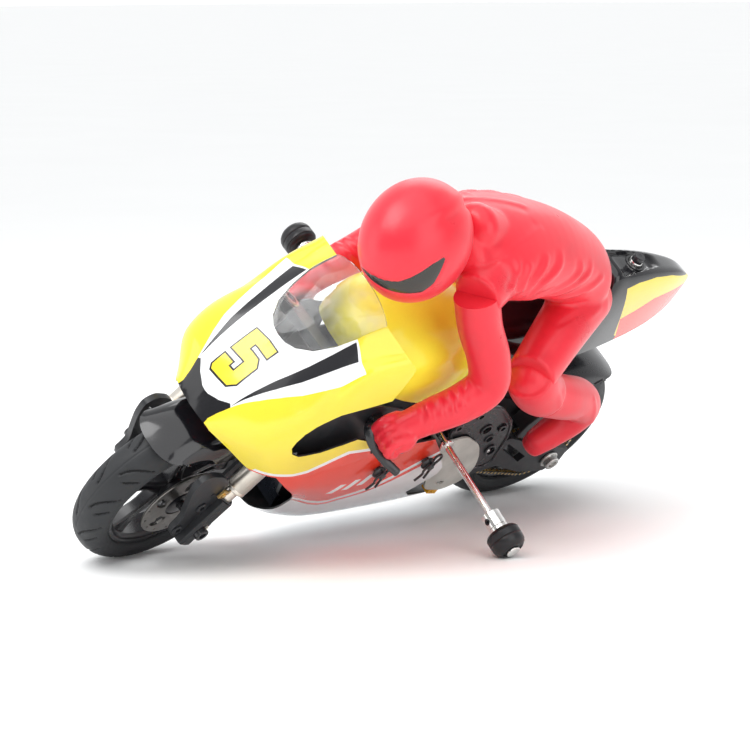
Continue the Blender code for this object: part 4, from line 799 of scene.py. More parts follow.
BELLY_RIBS = [
    [(217, 0, 33), (216, 12, 36), (214, 24, 47), (218, 33, 66), (231, 41, 84), (247, 44, 98), (268, 43.5, 116)],
    [(204, 0, 26), (203, 13, 29), (201, 26, 42), (203, 35.5, 63), (210, 42.5, 84), (222, 45, 102), (240, 45, 122)],
    [(180, 0, 22), (180, 14, 24.5), (180, 26.5, 37), (181, 36, 58), (184, 43, 80), (190, 45.5, 102),
     (198, 46.5, 130)],
    [(140, 0, 21), (140, 14, 23.5), (140, 26.5, 35.5), (141, 36, 56), (143, 43, 80), (147, 45, 102),
     (152, 46.5, 130)],
    [(98, 0, 22), (98, 14, 24.5), (98, 26, 36), (98, 35, 56), (100, 41.5, 80), (102, 44, 102), (104, 46, 130)],
    [(62, 0, 26), (62, 12, 28), (62, 23, 37), (62, 32, 54), (62, 39, 76), (62, 42, 98), (62, 44, 120)],
]
SCREEN_OUTLINE = [(268.4, 0), (267.5, 6), (265, 12), (259, 18.5), (250, 23), (241, 25.3),
                  (225, 26.5), (205, 26.8)]
SHELL_WALL, COVER_WALL = 1.1, 1.2         # of the fairings, and of the tank, seat and tail
TAIL_POST_X = 1.5

# Paint lines, as seen from above (x, y) or from the side (x, z).
WHITE_PANEL = [(240.8, 0), (240.8, 42.5), (250, 40.5), (258, 38.2), (268, 34.6), (278, 30), (285, 25.2),
               (290, 21), (293.7, 17.8), (293.3, 16.2), (295.5, 10.2), (297.1, 3), (297.3, 0)]
STRIPE = [(242.2, 35), (254, 32.2), (267, 29), (278, 25.3), (287, 20.9), (293.7, 17.5), (283, 20),
          (272, 22.4), (262, 24.2), (252, 25.5), (241.6, 26.4)]
CHIN = [(304.5, 0), (304.5, 14.8), (301.8, 14.3), (299.8, 13.6), (297, 15.2), (293.6, 17.9), (293.3, 16.2),
        (295.5, 10.2), (297.1, 3), (297.3, 0)]
PIN_TOP = [(275, 114.8), (268.7, 114.6), (260.5, 114.2), (251.7, 113.5), (242.7, 115.3), (233.4, 120.9),
           (226.2, 125.8), (221.7, 128.9), (209, 128.6), (190, 129), (165, 130), (100, 131)]
RED_TOP = [(275, 112.3), (267.4, 112.1), (258.7, 111.5), (249.6, 110.8), (240.4, 112.4), (230.9, 118),
           (223.8, 123), (218.5, 126), (203.6, 125.6), (190, 126), (165, 127), (100, 128)]
RED_LOW = [(232, 79.5), (222.4, 76.1), (209.3, 70.1), (200.4, 68.2), (194.6, 69), (190.5, 73), (182.2, 76.9),
           (172, 81.4), (164.3, 87.7), (155.7, 93.8), (145.5, 101), (135, 107.3), (118, 117.5)]
LINE_TOP = [(228, 75.4), (219.2, 72.1), (206.3, 66.4), (197.5, 64.6), (192.9, 65.8), (188.6, 70.1), (179.4, 73.7),
            (169.3, 78.6), (154.2, 91.1), (133.2, 104.8), (118, 114.6)]
LINE_LOW = [(225, 72), (214.2, 67.6), (203.4, 62.8), (196, 61.4), (190.6, 62.9), (186.3, 67.1), (171.3, 73.8),
            (151.4, 88.2), (130.4, 101.8), (118, 110.6)]
NUMERAL = [(1, 0), (9, 0), (11, 2), (11, 9.6), (9, 11.6), (4.2, 11.6), (4.2, 14), (10.6, 14),
           (10.6, 18), (0, 18), (0, 8), (6.8, 8), (6.8, 3.8), (4.2, 3.8), (4.2, 5.4), (0, 5.4),
           (0, 1)]


FLANK = 20                             # further out than this, a shell is all side wall


def anywhere(p):
    return True


def left(p):
    return p.y > 0


def right(p):
    return p.y < 0


def outer_left(p):
    return p.y > FLANK


def outer_right(p):
    return p.y < -FLANK


def nose_top(p):
    return p.z > 126 and p.x > 238


def arc_of(x, z, radius, count):
    """A round hole's outline."""
    turns = [2 * math.pi * k / count for k in range(count)]
    return [(x + radius * math.cos(t), z + radius * math.sin(t)) for t in turns]


def upper_fairing():
    """The nose: yellow, with a white panel, two tapering stripes, a black chin and an intake on each side."""
    work = skin_sheet(NOSE_RIBS, 60, 44)
    trimmed(work, mirrored(SCREEN_OUTLINE + [(190, 26.8)]), 2, lambda p: p.z > 150)
    below = SEAM + [(120, 60), (300, 60)]
    behind = [(170, 230), (225.4, 230), (225.4, 206), (213.3, 195.4), (217, 172), (170, 172)]
    intake = [(269, 140), (268.4, 145), (265.6, 150.6), (260, 155.5), (247, 163), (232, 167.5),
              (217, 172), (170, 172), (170, 122), (201, 122.5), (206, 130), (211, 136),
              (222, 140), (231, 136.5), (245, 132.5), (260, 132.2), (266, 135)]
    for side in (outer_left, outer_right):
        trimmed(work, intake, 1, side)
        trimmed(work, behind, 1, side)
    for side in (left, right):
        trimmed(work, below, 1, side)
    trimmed(work, [(170, -27), (225.4, -27), (225.4, 27), (170, 27)], 2, anywhere)
    for index, outline, where in ((1, WHITE_PANEL, nose_top), (2, STRIPE, nose_top), (3, CHIN, lambda p: p.x > 288)):
        painted(work, outline, 2, index, where)
        painted(work, [(x, -y) for x, y in outline], 2, index, where)
    band = PIN_TOP + list(reversed(RED_TOP))
    red = RED_TOP + [(100, 60), (300, 60), (300, 112.4)]
    for side in (outer_left, outer_right):
        painted(work, band, 1, 1, side)
        painted(work, red, 1, 4, side)
    surface = BVHTree.FromBMesh(work)
    piece("nose_fairing", "bike", work, ["yellow", "white", "stripe", "black", "red", "inside"], "upper_fairing",
          thick=SHELL_WALL, smooth=50)
    return surface


def numeral(surface):
    """The racing number, lying on the nose panel with its foot towards the chin."""
    centre, turn = 282.5, math.radians(4)
    wide, tall = 1.72, 1.10                # millimetres to a unit of the table

    def spot(u, v):
        du, dv = (u - 5.5) * wide, (v - 9) * tall
        across = du * math.cos(turn) - dv * math.sin(turn)
        fore = dv * math.cos(turn) + du * math.sin(turn)
        return Vector((centre - fore, across, 0))
    for name, finish, lift, grow in (("race_number_edge", "stripe", 0.09, 0.55),
                                     ("race_number_face", "yellow", 0.17, 0)):
        outline = grown_outline(NUMERAL, grow)
        flat = grown([spot(u, v) for u, v in outline], [tuple(range(len(outline)))])
        for axis in (0, 1):
            for step in range(-22, 23):
                co, no = [centre, 0, 0], [0, 0, 0]
                co[axis] += step * 0.9
                no[axis] = 1
                geometry = list(flat.verts) + list(flat.edges) + list(flat.faces)
                bmesh.ops.bisect_plane(flat, geom=geometry, dist=1e-5, plane_co=co, plane_no=no)
        for vert in flat.verts:
            hit, normal, _, _ = surface.ray_cast(Vector((vert.co.x, vert.co.y, 260)), Vector((0, 0, -1)))
            if hit is not None:
                vert.co = hit + normal * (lift if normal.z > 0 else -lift)
        flat.normal_update()
        if sum(f.normal.z for f in flat.faces) < 0:
            bmesh.ops.reverse_faces(flat, faces=flat.faces)
        piece(name, "bike", flat, finish, thick=lift * 0.9)


def grown_outline(outline, grow):
    """A polygon with its sides moved outwards."""
    if not grow:
        return list(outline)
    area = sum(a[0] * b[1] - b[0] * a[1] for a, b in zip(outline, outline[1:] + outline[:1]))
    out = []
    for i, here in enumerate(outline):
        before, after = Vector(outline[i - 1]), Vector(outline[(i + 1) % len(outline)])
        here = Vector(here)
        normals = []
        for a, b in ((before, here), (here, after)):
            edge = (b - a).normalized()
            normals.append(Vector((edge.y, -edge.x)) * (1 if area > 0 else -1))
        middle = normals[0] + normals[1]
        middle = middle / max(0.3, middle.length_squared / 2)
        out.append(tuple(here + middle * grow))
    return out


def screen_bulge(point):
    """How far the screen is blown out at a point."""
    wide = 26 * max(0, min(1, (268.4 - point[0]) / 30)) ** 0.5 + 1e-3
    if point[0] >= 268.4:
        return 0
    return 5 * max(0, 1 - (point[1] / wide) ** 2) * min(1, (270 - point[0]) / 25)


def windshield():
    """The clear screen, blown out a little from the nose, with pressed ribs at its foot."""
    work = skin_sheet(NOSE_RIBS[3:], 60, 52, screen_bulge)
    inner = [(x - 0.3 if i == 0 else x, max(0, y - 0.25)) for i, (x, y) in enumerate(SCREEN_OUTLINE)]
    trimmed(work, mirrored(inner), 2, anywhere, keep_inside=True)
    trimmed(work, [(150, -40), (225.4, -40), (225.4, 40), (150, 40)], 2, anywhere)
    for vert in work.verts:
        x, y = vert.co.x, abs(vert.co.y)
        for place_x, place_y, long in ((258.5, 7.5, 4), (247, 3, 6.5)):
            fall = ((x - place_x) / long) ** 2 + ((y - place_y) / 1.3) ** 2
            vert.co.z += 0.7 * math.exp(-fall)
    piece("clear_windshield", "bike", work, "clear", "windshield", thick=0.8, smooth=60)


def intake_shade_panels():
    """Dark panels behind the intakes, which close the nose off from the side; they are painted shade for the dark
    inside of the nose.
    """
    outline = [(182, 124), (206, 124), (224, 122), (258, 124), (262, 136), (254, 150), (240, 154), (206, 154),
               (186, 148)]
    panels = [slab(outline, *sorted((39.4 * side, 40.4 * side))) for side in (1, -1)]
    # These dark panels are painted shade inside the nose.
    piece("intake_shade_panels", "bike", panels, "inside", bevel=0.3)


def lower_fairing():
    """The belly trough: red above a thin red line and three white slashes, then white darkening to silver grey as
    painted shade.
    """
    work = skin_sheet(BELLY_RIBS, 56, 40)
    above = [(x, z - 0.12) for x, z in reversed(SEAM)] + [(300, 200), (120, 200)]
    rear = [(40, 200), (140, 200), (148.5, 122), (137, 110), (118.5, 88), (117, 80), (121, 70),
            (124, 58), (112, 47), (84, 39.5), (40, 37)]
    for side in (left, right):
        trimmed(work, above, 1, side)
        trimmed(work, rear, 1, side)
    red = [(300, 140), (100, 140)] + list(reversed(RED_LOW)) + [(240, 82), (300, 110)]
    line = LINE_TOP + list(reversed(LINE_LOW))
    low_line = [(196, 33.2), (150, 31), (100, 31.4), (100, 32.9), (150, 32.6), (196, 34.6)]
    for side in (outer_left, outer_right):
        painted(work, red, 1, 1, side)
        painted(work, line, 1, 1, side)
    for side in (left, right):
        painted(work, low_line, 1, 1, side)
    painted(work, mirrored([(219, 0), (219, 14), (208, 12), (206, 0)]), 2, 1, lambda p: p.z < 40)
    for shift in (0, -9, -18):
        slash = [(200 + shift, 80 - shift * 0.35), (204.5 + shift, 80 - shift * 0.35),
                 (200.5 + shift, 90 - shift * 0.35), (196 + shift, 90 - shift * 0.35)]
        for side in (outer_left, outer_right):
            painted(work, slash, 1, 2, side)
    for x, z in POSTS:
        for side in (outer_left, outer_right):
            trimmed(work, arc_of(x, z, 2.6, 16), 1, side)
    # The white darkens to grey towards the bottom as painted shade.
    piece("belly_fairing", "bike", work, ["shaded_white", "red", "white", "inside"], "lower_fairing", thick=SHELL_WALL,
          smooth=50)


TANK_STATIONS = [(221, 6, 176, 166), (216, 20, 184, 163), (206, 31, 190.5, 158),
                 (190, 38.5, 194, 154), (172, 40, 194.5, 151), (152, 37, 193, 149.5),
                 (132, 30, 189, 148), (117, 22.5, 182, 147), (106, 16.5, 173.5, 146)]
SEAT_STATIONS = [(103.5, 16, 170.5, 146), (90, 19.5, 169.5, 144), (70, 20.5, 169, 142),
                 (50, 20, 171, 141), (34, 18.5, 177, 141.5)]
TAIL_STATIONS = [(33, 18, 190, 141), (27, 17.6, 204, 141), (14, 16.6, 204.5, 143),
                 (-4, 14.4, 203.3, 146), (-24, 11.5, 200, 149.5), (-42, 8, 195, 154),
                 (-56, 4.2, 187, 162), (-61, 1.6, 183.5, 172)]


def arch_sheet(stations, steps, across, square):
    """An arch-shaped cover, open underneath, its end walls included."""
    table = spline(stations, steps + 1)
    rows = []
    for x, wide, top, bottom in table:
        arch = []
        for j in range(2 * across + 1):
            t = (j / (2 * across) - 0.5) * math.pi
            over = math.copysign(abs(math.sin(t)) ** (2 / square), t)
            rise = max(0, math.cos(t)) ** (2 / square)
            arch.append(Vector((x, wide * over, bottom + (top - bottom) * rise)))
        rows.append(arch)
    count = 2 * across + 1
    verts = [p for row in rows for p in row]
    faces = [face[:1] + face[:0:-1] for face in grid_faces(len(rows), count)]
    faces.append(tuple(range(count)))
    faces.append(tuple(range(len(verts) - count, len(verts)))[::-1])
    work = grown(verts, faces)
    bmesh.ops.remove_doubles(work, verts=work.verts, dist=0.002)
    bmesh.ops.recalc_face_normals(work, faces=work.faces)
    turn_over(work, max(work.faces, key=lambda f: f.calc_center_median().z), Vector((0, 0, 1)))
    return work


def tank_and_seat():
    """The golden tank cover, with a pressed crease along each flank, and the black seat behind it."""
    tank = arch_sheet(TANK_STATIONS, 44, 34, 2.6)
    for vert in tank.verts:
        p = vert.co
        if abs(p.y) > 6:
            line = 178 - 0.16 * (p.x - 170)
            vert.co.y -= math.copysign(0.9 * math.exp(-((p.z - line + 5) / 4.5) ** 2), p.y)
    piece("golden_tank", "bike", tank, ["tank", "inside"], "tank_cover", thick=COVER_WALL, smooth=45)
    seat = arch_sheet(SEAT_STATIONS, 24, 24, 4)
    piece("black_seat", "bike", seat, ["black", "inside"], "seat", thick=COVER_WALL, smooth=45)


def tail():
    """The tail: black top with a dished recess round the mounting post, yellow flanks with a red lower band."""
    work = arch_sheet(TAIL_STATIONS, 50, 40, 5)
    flank = [(16.5, 196.5), (6, 198.5), (-12, 198.5), (-30, 195.6), (-48, 190), (-66, 184), (-66, 120),
             (-13, 120), (-11.5, 148), (-6, 152), (4, 172)]
    red = [(2, 168.5), (-9, 172.5), (-24, 179.5), (-60, 181), (-66, 120), (-9.5, 120), (-9, 150)]
    for side in (left, right):
        painted(work, flank, 1, 1, side)
        painted(work, red, 1, 2, side)
    for vert in work.verts:
        p = vert.co
        if p.z > 196:
            wide = 11.5 - 0.18 * max(0, 20 - p.x)
            edge = min(1, max(0, (wide - abs(p.y)) / 2.2)) * min(1, max(0, (22 - p.x) / 2.2))
            edge *= min(1, max(0, (p.x + 18) / 8))
            vert.co.z -= 3 * edge * edge * (3 - 2 * edge)
    trimmed(work, arc_of(TAIL_POST_X, 0, 4.6, 28), 2, lambda p: p.z > 190)
    piece("tail_fairing", "bike", work, ["black", "yellow", "red", "inside"], "tail_cowl", thick=COVER_WALL,
          smooth=40)
    lip = turned([(-0.6, 4.6), (0.9, 4.8), (0.9, 6.2), (-0.6, 6.6)], (TAIL_POST_X, 0, 200.8), (0, 0, 1), 40)
    piece("tail_post_rim", "bike", lip, "black", smooth=50)
    sleeve = turned([(0, 3.1), (7.2, 3.1), (7.2, 3.95), (6.6, 4.3), (0, 4.3)], (TAIL_POST_X, 0, 196.5), (0, 0, 1), 36)
    piece("tail_post_sleeve", "bike", sleeve, "bright", smooth=50)
    cap = turned([(0, 1.3), (3.4, 1.3), (3.4, 3.1), (2.7, 3.6), (0, 3.6)], (TAIL_POST_X, 0, 204.2), (0, 0, 1), 36)
    piece("tail_cap_screw", "bike", cap, "satin_black", smooth=50)


numeral(upper_fairing())
windshield()
intake_shade_panels()
lower_fairing()
tank_and_seat()
tail()

# ---------------------------------------------------------------- rider
HELMET = Vector((209.5, 0, 243.5))
HELMET_NOD, HELMET_ROLL = 45, 41
HELMET_SIZE = (35, 28, 31)         # towards the face, across, towards the crown
HELMET_TURN = Matrix.Rotation(math.radians(HELMET_ROLL), 3, "X") @ Matrix.Rotation(math.radians(HELMET_NOD), 3, "Y")
HELMET_FACE, HELMET_SIDE, HELMET_UP = (HELMET_TURN.col[i].copy() for i in range(3))
ARM_PATH = [(178.5, 31.5, 231, 12.8, 12.8), (170, 40, 213, 12.6, 12.4), (160, 50, 197, 12.2, 12),
            (155, 56, 181, 12, 11.5), (167, 57, 169, 11.2, 10.8), (184, 56, 160, 10.2, 9.8),
            (195, 54.5, 152, 9, 8.8), (200, 54, 147, 10, 9.5)]
LEG_PATH = [(106, 49.5, 170, 13.6, 13.6), (92, 50, 158, 13.8, 13.6), (68, 50, 149, 13.4, 13.4),
            (46, 47, 140, 13, 13), (34, 46, 130, 12.2, 12), (37, 46, 116, 10.6, 10.6), (50, 46, 101, 8, 8.5)]
SPINE = [(47, 0, 200, 20, 15), (58, 0, 204, 29, 22), (76, 0, 214, 29, 23), (105, 0, 225, 31, 24),
         (135, 0, 231, 35, 23.5), (158, 0, 233, 35, 21), (172, 0, 235, 27, 17)]
HUMP = [(154, 0, 246, 12, 10.5), (167, 0, 250, 14.5, 12)]
THIGH_PATH = [(56, 16, 194, 17.5, 17.5), (84, 33, 186, 15.6, 16), (103, 45, 178, 14.4, 14.4),
              (111, 50, 175.3, 14.1, 14.1)]
SHOULDER = [(152, 18, 228, 15.5, 14.5), (166, 26, 232.5, 14.4, 14.4), (178.4, 32.2, 230, 13.9, 13.9)]
ARM_SEAM = (Vector((178.1, 31.9, 230.4)), Vector((-0.40, 0.40, -0.82)))
CALF_SEAM = (Vector((87, 50, 156)), Vector((-0.93, 0, -0.36)))
SIDE_FOLDS = [  # soft folds across the waist, left side; the right side mirrors them
    [(154, 25, 250), (153.4, 29, 246), (155.4, 32.4, 243), (162, 37, 240)],
    [(145, 29, 246), (148, 33, 241), (149, 34.5, 235)],
    [(129, 25, 247.6), (133.3, 30, 243.4), (139, 33.2, 238.7), (145.7, 34, 225)],
    [(114.3, 20.6, 246), (116.4, 26.3, 242), (123, 31, 238.7), (133.4, 34, 234), (141, 34, 222)],
    [(93.3, 23.4, 236), (94, 26, 233), (100, 29, 229.5), (114.7, 32, 226), (128.5, 33, 223), (138, 33, 215)],
    [(80, 18.8, 234.5), (82.5, 24.3, 230), (88.3, 28, 227.8), (102, 30.6, 223), (118, 32, 216)],
    [(67, 24, 222.5), (78, 28, 219.7), (93, 29, 215.5), (104, 29, 209)],
]
VISOR = [  # turn round the helmet, lower rise, upper rise, in degrees
    (-24, 21, 21.8), (-12, 15, 20.5), (0, 8, 18.5), (13, -1, 13.5), (27, -11, 8), (39, -18.5, 6),
    (54, -17, 4.8), (66, -10, 3), (76, -3.5, -0.5)]
VISOR_START, VISOR_STOP = VISOR[0][0], VISOR[-1][0]


def helmet_point(turn, rise, grow):
    """A point of the helmet: turn goes round it from the face, rise goes up to the crown."""
    face, across, crown = (half + grow for half in HELMET_SIZE)
    level = math.cos(rise)
    return (HELMET + HELMET_FACE * (face * math.cos(turn) * level) + HELMET_SIDE * (across * math.sin(turn) * level)
            + HELMET_UP * (crown * math.sin(rise)))


def sided(path, side, steps):
    """A limb's stations on one side, with more of them between."""
    return spline([(x, y * side, z, wide, high) for x, y, z, wide, high in path], steps)


def barrel(stations):
    """A limb with flat ends."""
    return limb(stations, 48, 0)


def melted(parts, voxel, passes):
    """The union of soft parts as one skin, smoothed as a moulding is."""
    made = as_object(gathered(*parts))
    merge = made.modifiers.new("merge", "REMESH")
    merge.mode, merge.voxel_size = "VOXEL", voxel
    relax = made.modifiers.new("relax", "SMOOTH")
    relax.factor, relax.iterations = 0.5, passes
    return from_object(made)


def distance_to(points, path):
    """The distance of each point from a polyline."""
    best = np.full(points.shape[:-1], 1e9)
    for a, b in zip(path, path[1:]):
        a, b = np.array(a, float), np.array(b, float)
        along = b - a
        t = np.clip((points - a) @ along / max(along @ along, 1e-9), 0, 1)
        best = np.minimum(best, np.linalg.norm(points - (a + t[..., None] * along), axis=-1))
    return best


def relief(work, strokes, both=False, fade=None):
    """Raises or sinks the skin along soft strokes, (path, width, height), which may fade towards the centre line."""
    work.normal_update()
    points = np.array([v.co for v in work.verts])
    move = np.zeros(len(points))
    for path, width, height in strokes:
        smooth_path = spline(path, 4 * len(path)) if len(path) > 2 else path
        for side in (1, -1) if both else (1,):
            route = [(x, y * side, z) for x, y, z in smooth_path]
            move += height * np.exp(-(distance_to(points, route) / width) ** 2)
    if fade:
        move *= np.clip((np.abs(points[:, 1]) - fade[0]) / (fade[1] - fade[0]), 0, 1)
    for vert, amount in zip(work.verts, move):
        vert.co += vert.normal * float(amount)
    work.normal_update()


def seamed(work, seam, side, reach):
    """A parting groove where a ring plane crosses the skin."""
    width, depth = 0.8, 0.9
    spot, normal = seam
    spot, normal = Vector((spot.x, spot.y * side, spot.z)), Vector((normal.x, normal.y * side, normal.z)).normalized()
    work.normal_update()
    for vert in work.verts:
        offset = vert.co - spot
        off = offset.dot(normal)
        if abs(off) < 4 * width and (offset - normal * off).length < reach:
            vert.co -= vert.normal * (depth * math.exp(-(off / width) ** 2))


def rider_body():
    """The torso with its thighs and shoulders, hollowed where the helmet sits, and the neck inside."""
    parts = [limb(spline(SPINE, 26), 56, 5), limb(spline(HUMP, 4), 40, 6)]
    for side in (1, -1):
        parts.append(barrel(sided(THIGH_PATH, side, 16)))
        parts.append(limb([(50, 15 * side, 193, 16, 16), (56, 16 * side, 194, 17.5, 17.5)], 40, 5))
        parts.append(barrel(sided(SHOULDER, side, 8)))
    work = melted(parts, 1.25, 9)
    folds = [(path, 2.3, 1.15) for path in SIDE_FOLDS]
    folds += [([tuple(np.array(p) + (5.5, 0, 1.5)) for p in path], 2.4, -0.75) for path in SIDE_FOLDS]
    relief(work, folds, both=True, fade=(19, 28))
    strokes = [([(126, 9, 254), (149, 18, 253), (164, 24, 248), (172, 29, 242)], 2, 0.55),
                ([(130, 5, 252), (150, 13, 250), (164, 19, 247), (174, 24, 243)], 2.6, -0.5),
                ([(60, 33, 205), (76, 36, 200), (92, 40, 195)], 2.2, 0.7),
                ([(68, 33, 208), (82, 34, 203), (94, 36, 200)], 1.8, -0.7),
                ([(96, 26, 207), (108, 30, 205), (120, 31, 209)], 2.6, -0.9),
                ([(92, 37, 197), (101, 42, 190), (108, 46, 184)], 3, 0.5),
                ([(150, 38, 214), (158, 40, 218), (166, 40, 222)], 2.2, -0.7)]
    relief(work, strokes, both=True)
    neck = limb([(178, 0, 236, 14, 13), (188, 2, 240, 14, 13), (196, 3, 243, 13, 12)], 32, 3)
    hollow = carved(work, [helmet_form(0.55, 40, 26)])
    piece("rider_suit", "bike", hollow, "vinyl", "rider_torso", smooth=70)
    piece("rider_neck", "bike", neck, "vinyl", smooth=70)


def helmet_form(grow, count=96, rows=60):
    """The bare helmet, or a form a little larger than it."""
    sections = []
    for i in range(rows + 1):
        rise = math.radians(-86 + 172 * i / rows)
        sections.append([helmet_point(2 * math.pi * j / count, rise, grow) for j in range(count)])
    return loft(sections)


def visor_edges(turn):
    """The visor's lower and upper rise at a turn round the helmet, in degrees."""
    turns = [row[0] for row in VISOR]
    return (float(np.interp(turn, turns, [row[1] for row in VISOR])),
            float(np.interp(turn, turns, [row[2] for row in VISOR])))


def helmet():
    """The helmet with its brow, a crease behind it, a rolled rim at the neck, and the visor let into the front."""
    work = helmet_form(0)
    work.normal_update()
    for vert in work.verts:
        offset = vert.co - HELMET
        face, across, up = (offset.dot(way) / half for way, half in
                            zip((HELMET_FACE, HELMET_SIDE, HELMET_UP), HELMET_SIZE))
        turn = math.degrees(math.atan2(across, face))
        rise = math.degrees(math.asin(max(-1, min(1, up))))
        low, high = visor_edges(turn)
        push = 0
        if VISOR_START < turn < VISOR_STOP:
            inner = min(rise - low, high - rise)
            push -= 0.55 * max(0, min(1, 0.5 + inner / 2.5))
            push += 0.45 * math.exp(-((inner + 3) / 2.6) ** 2)
        crease = rise - (26 - 0.55 * (abs(turn) - 90))
        if abs(turn) > 85:
            fade = min(1, (abs(turn) - 85) / 25)
            push -= 1.3 * fade * math.exp(-(crease / 6) ** 2)
            push += 0.7 * fade * math.exp(-((crease - 13) / 8) ** 2)
        vert.co += vert.normal * push
    piece("rider_helmet_shell", "bike", work, "vinyl", "rider_helmet", smooth=70)
    count, rows = 120, 12
    grid = []
    for j in range(rows + 1):
        line = []
        for i in range(count + 1):
            turn = VISOR_START + (VISOR_STOP - VISOR_START) * i / count
            low, high = visor_edges(turn)
            rise = low + (high - low) * j / rows
            swell = 0.45 * math.sin(math.pi * j / rows) ** 0.5
            line.append(helmet_point(math.radians(turn), math.radians(rise), -0.12 + swell * 0.7))
        grid.append(line)
    band = grown([p for line in grid for p in line], grid_faces(rows + 1, count + 1))
    bmesh.ops.remove_doubles(band, verts=band.verts, dist=0.002)
    band.normal_update()
    band.faces.ensure_lookup_table()
    middle = band.faces[len(band.faces) // 2]
    turn_over(band, middle, middle.calc_center_median() - HELMET)
    piece("rider_visor_band", "bike", band, "visor", "rider_visor", thick=0.9, smooth=60)


def arm(side, word):
    """A sleeve with its fist round the bar: four curled fingers, a thumb and folds, cut flat at the shoulder."""
    parts = [limb(sided(ARM_PATH, side, 40), 40, 5)]
    parts.append(limb([(199, 50 * side, 147.5, 9, 8), (201, 60 * side, 147, 9, 8)], 28, 5))
    for k in range(4):
        y = 47.5 + 4.9 * k
        curl = [(199, y, 153.5 - k * 0.4, 3, 3), (206.5, y + 0.3, 151.5 - k * 0.4, 3, 3),
                (211, y + 0.6, 146.5, 3, 3), (209, y + 0.6, 140.5, 2.9, 2.9), (203, y + 0.6, 138.5, 2.7, 2.7)]
        parts.append(limb(sided(curl, side, 12), 18, 3))
    thumb = [(196, 47, 143, 3.6, 3.6), (202, 44.5, 140, 3.5, 3.5), (208, 46.5, 138, 3.1, 3.1)]
    parts.append(limb(sided(thumb, side, 10), 18, 3))
    work = melted(parts, 0.95, 9)
    folds = []
    for x, y, z, reach, high in ((168, 55, 180, 6, 0.8), (173, 56, 177, 7, 1), (178, 56, 173.5, 7, 1.05),
                                 (184, 56, 170.5, 6, 0.8), (191, 57, 166.5, 7.5, 1)):
        folds.append(([(x - 1.5, (y - reach) * side, z + 1), (x, y * side, z),
                       (x + 1.5, (y + reach) * side, z - 3)], 1.7, high))
        folds.append(([(x + 1.4, (y - reach) * side, z - 1), (x + 3, y * side, z - 2),
                       (x + 4.5, (y + reach) * side, z - 5)], 1.5, -0.55))
    folds.append(([(160, 46 * side, 183), (164, 52 * side, 178), (166, 60 * side, 172)], 1.9, -0.7))
    folds.append(([(186.5, 47 * side, 162), (188, 56 * side, 165), (189, 65 * side, 160), (186, 62 * side, 152)], 1.2,
                  -0.7))
    relief(work, folds)
    spot, normal = ARM_SEAM
    geometry = list(work.verts) + list(work.edges) + list(work.faces)
    bmesh.ops.bisect_plane(work, geom=geometry, dist=1e-4, plane_co=(spot.x, spot.y * side, spot.z),
                           plane_no=(-normal.x, -normal.y * side, -normal.z), clear_outer=True)
    bmesh.ops.holes_fill(work, edges=[e for e in work.edges if e.is_boundary])
    bmesh.ops.recalc_face_normals(work, faces=work.faces)
    piece(f"rider_sleeve_{word}", "bike", work, "vinyl", f"rider_arm_{word}", smooth=70)


def leg(side, word):
    """A lower leg with its boot, and a groove where the cup of the knee meets the calf."""
    cup = [(112.5, 50.5, 174.5, 13.2, 13.2), (106, 50.5, 169, 14.6, 14.6), (96, 50.5, 161, 14.9, 14.9),
           (88, 50.3, 156.6, 14.6, 14.6)]
    parts = [barrel(sided(cup, side, 14)), limb(sided(LEG_PATH, side, 34), 44, 6)]
    parts.append(limb([(109, 50 * side, 171, 12.5, 12.5), (103, 50 * side, 167, 13.5, 13.5)], 32, 6))
    sole = [(33, 46, 121, 9, 8), (42, 46, 108, 9.5, 7), (52, 46, 97, 7.5, 5.5)]
    parts.append(limb(sided(sole, side, 10), 24, 4))
    work = melted(parts, 1.05, 5)
    folds = [([(98, 59 * side, 171), (91, 63 * side, 165), (86, 63 * side, 158)], 2.2, 0.6),
             ([(101, 56 * side, 176), (95, 60 * side, 172), (90, 60 * side, 169)], 1.6, -0.5),
             ([(44, 57 * side, 150), (38, 58 * side, 140), (31, 57 * side, 128)], 2, 0.6),
             ([(52, 60 * side, 139), (44, 60 * side, 130), (42, 59 * side, 118)], 2.4, -0.7),
             ([(28, 52 * side, 121), (36, 56 * side, 108), (47, 54 * side, 97)], 1, -0.7)]
    relief(work, folds)
    seamed(work, CALF_SEAM, side, 19)
    piece(f"rider_boot_{word}", "bike", work, "vinyl", f"rider_leg_{word}", smooth=70)


rider_body()
helmet()
for SIDE, WORD in SIDES:
    arm(SIDE, WORD)
    leg(SIDE, WORD)

# ---------------------------------------------------------------- wheels
SIPES = [  # grooves on one shoulder of a tyre: (arc from the parting line, distance round it), per tread pitch
    ([(2.8, 0), (4.4, 4.6), (6.6, 8), (9.6, 11.6), (12.2, 14.2)], 0.66),
    ([(13.3, 15.4), (14.4, 16.6)], 0.60),
    ([(7.5, -2.1), (10.4, 1.2), (13.6, 4.6)], 0.62),
]


SIPE_DEPTH = 1.05


def tread_depth(arc, around, pitch, scale):
    """How far the tread is sunk by its grooves at each point."""
    depth = 0.28 * np.exp(-(arc / 0.28) ** 2)
    flat = np.stack([np.abs(arc), (around + np.where(arc < 0, pitch / 2, 0)) % pitch], axis=-1)
    for stroke, width in SIPES:
        route = [(a * scale, b * scale) for a, b in stroke]
        for turn in (-1, 0, 1):
            shifted = [(a, b + turn * pitch) for a, b in route]
            near = distance_to(flat, shifted)
            depth = np.maximum(depth, SIPE_DEPTH / (1 + np.exp((near - width) / 0.10)))
    return depth


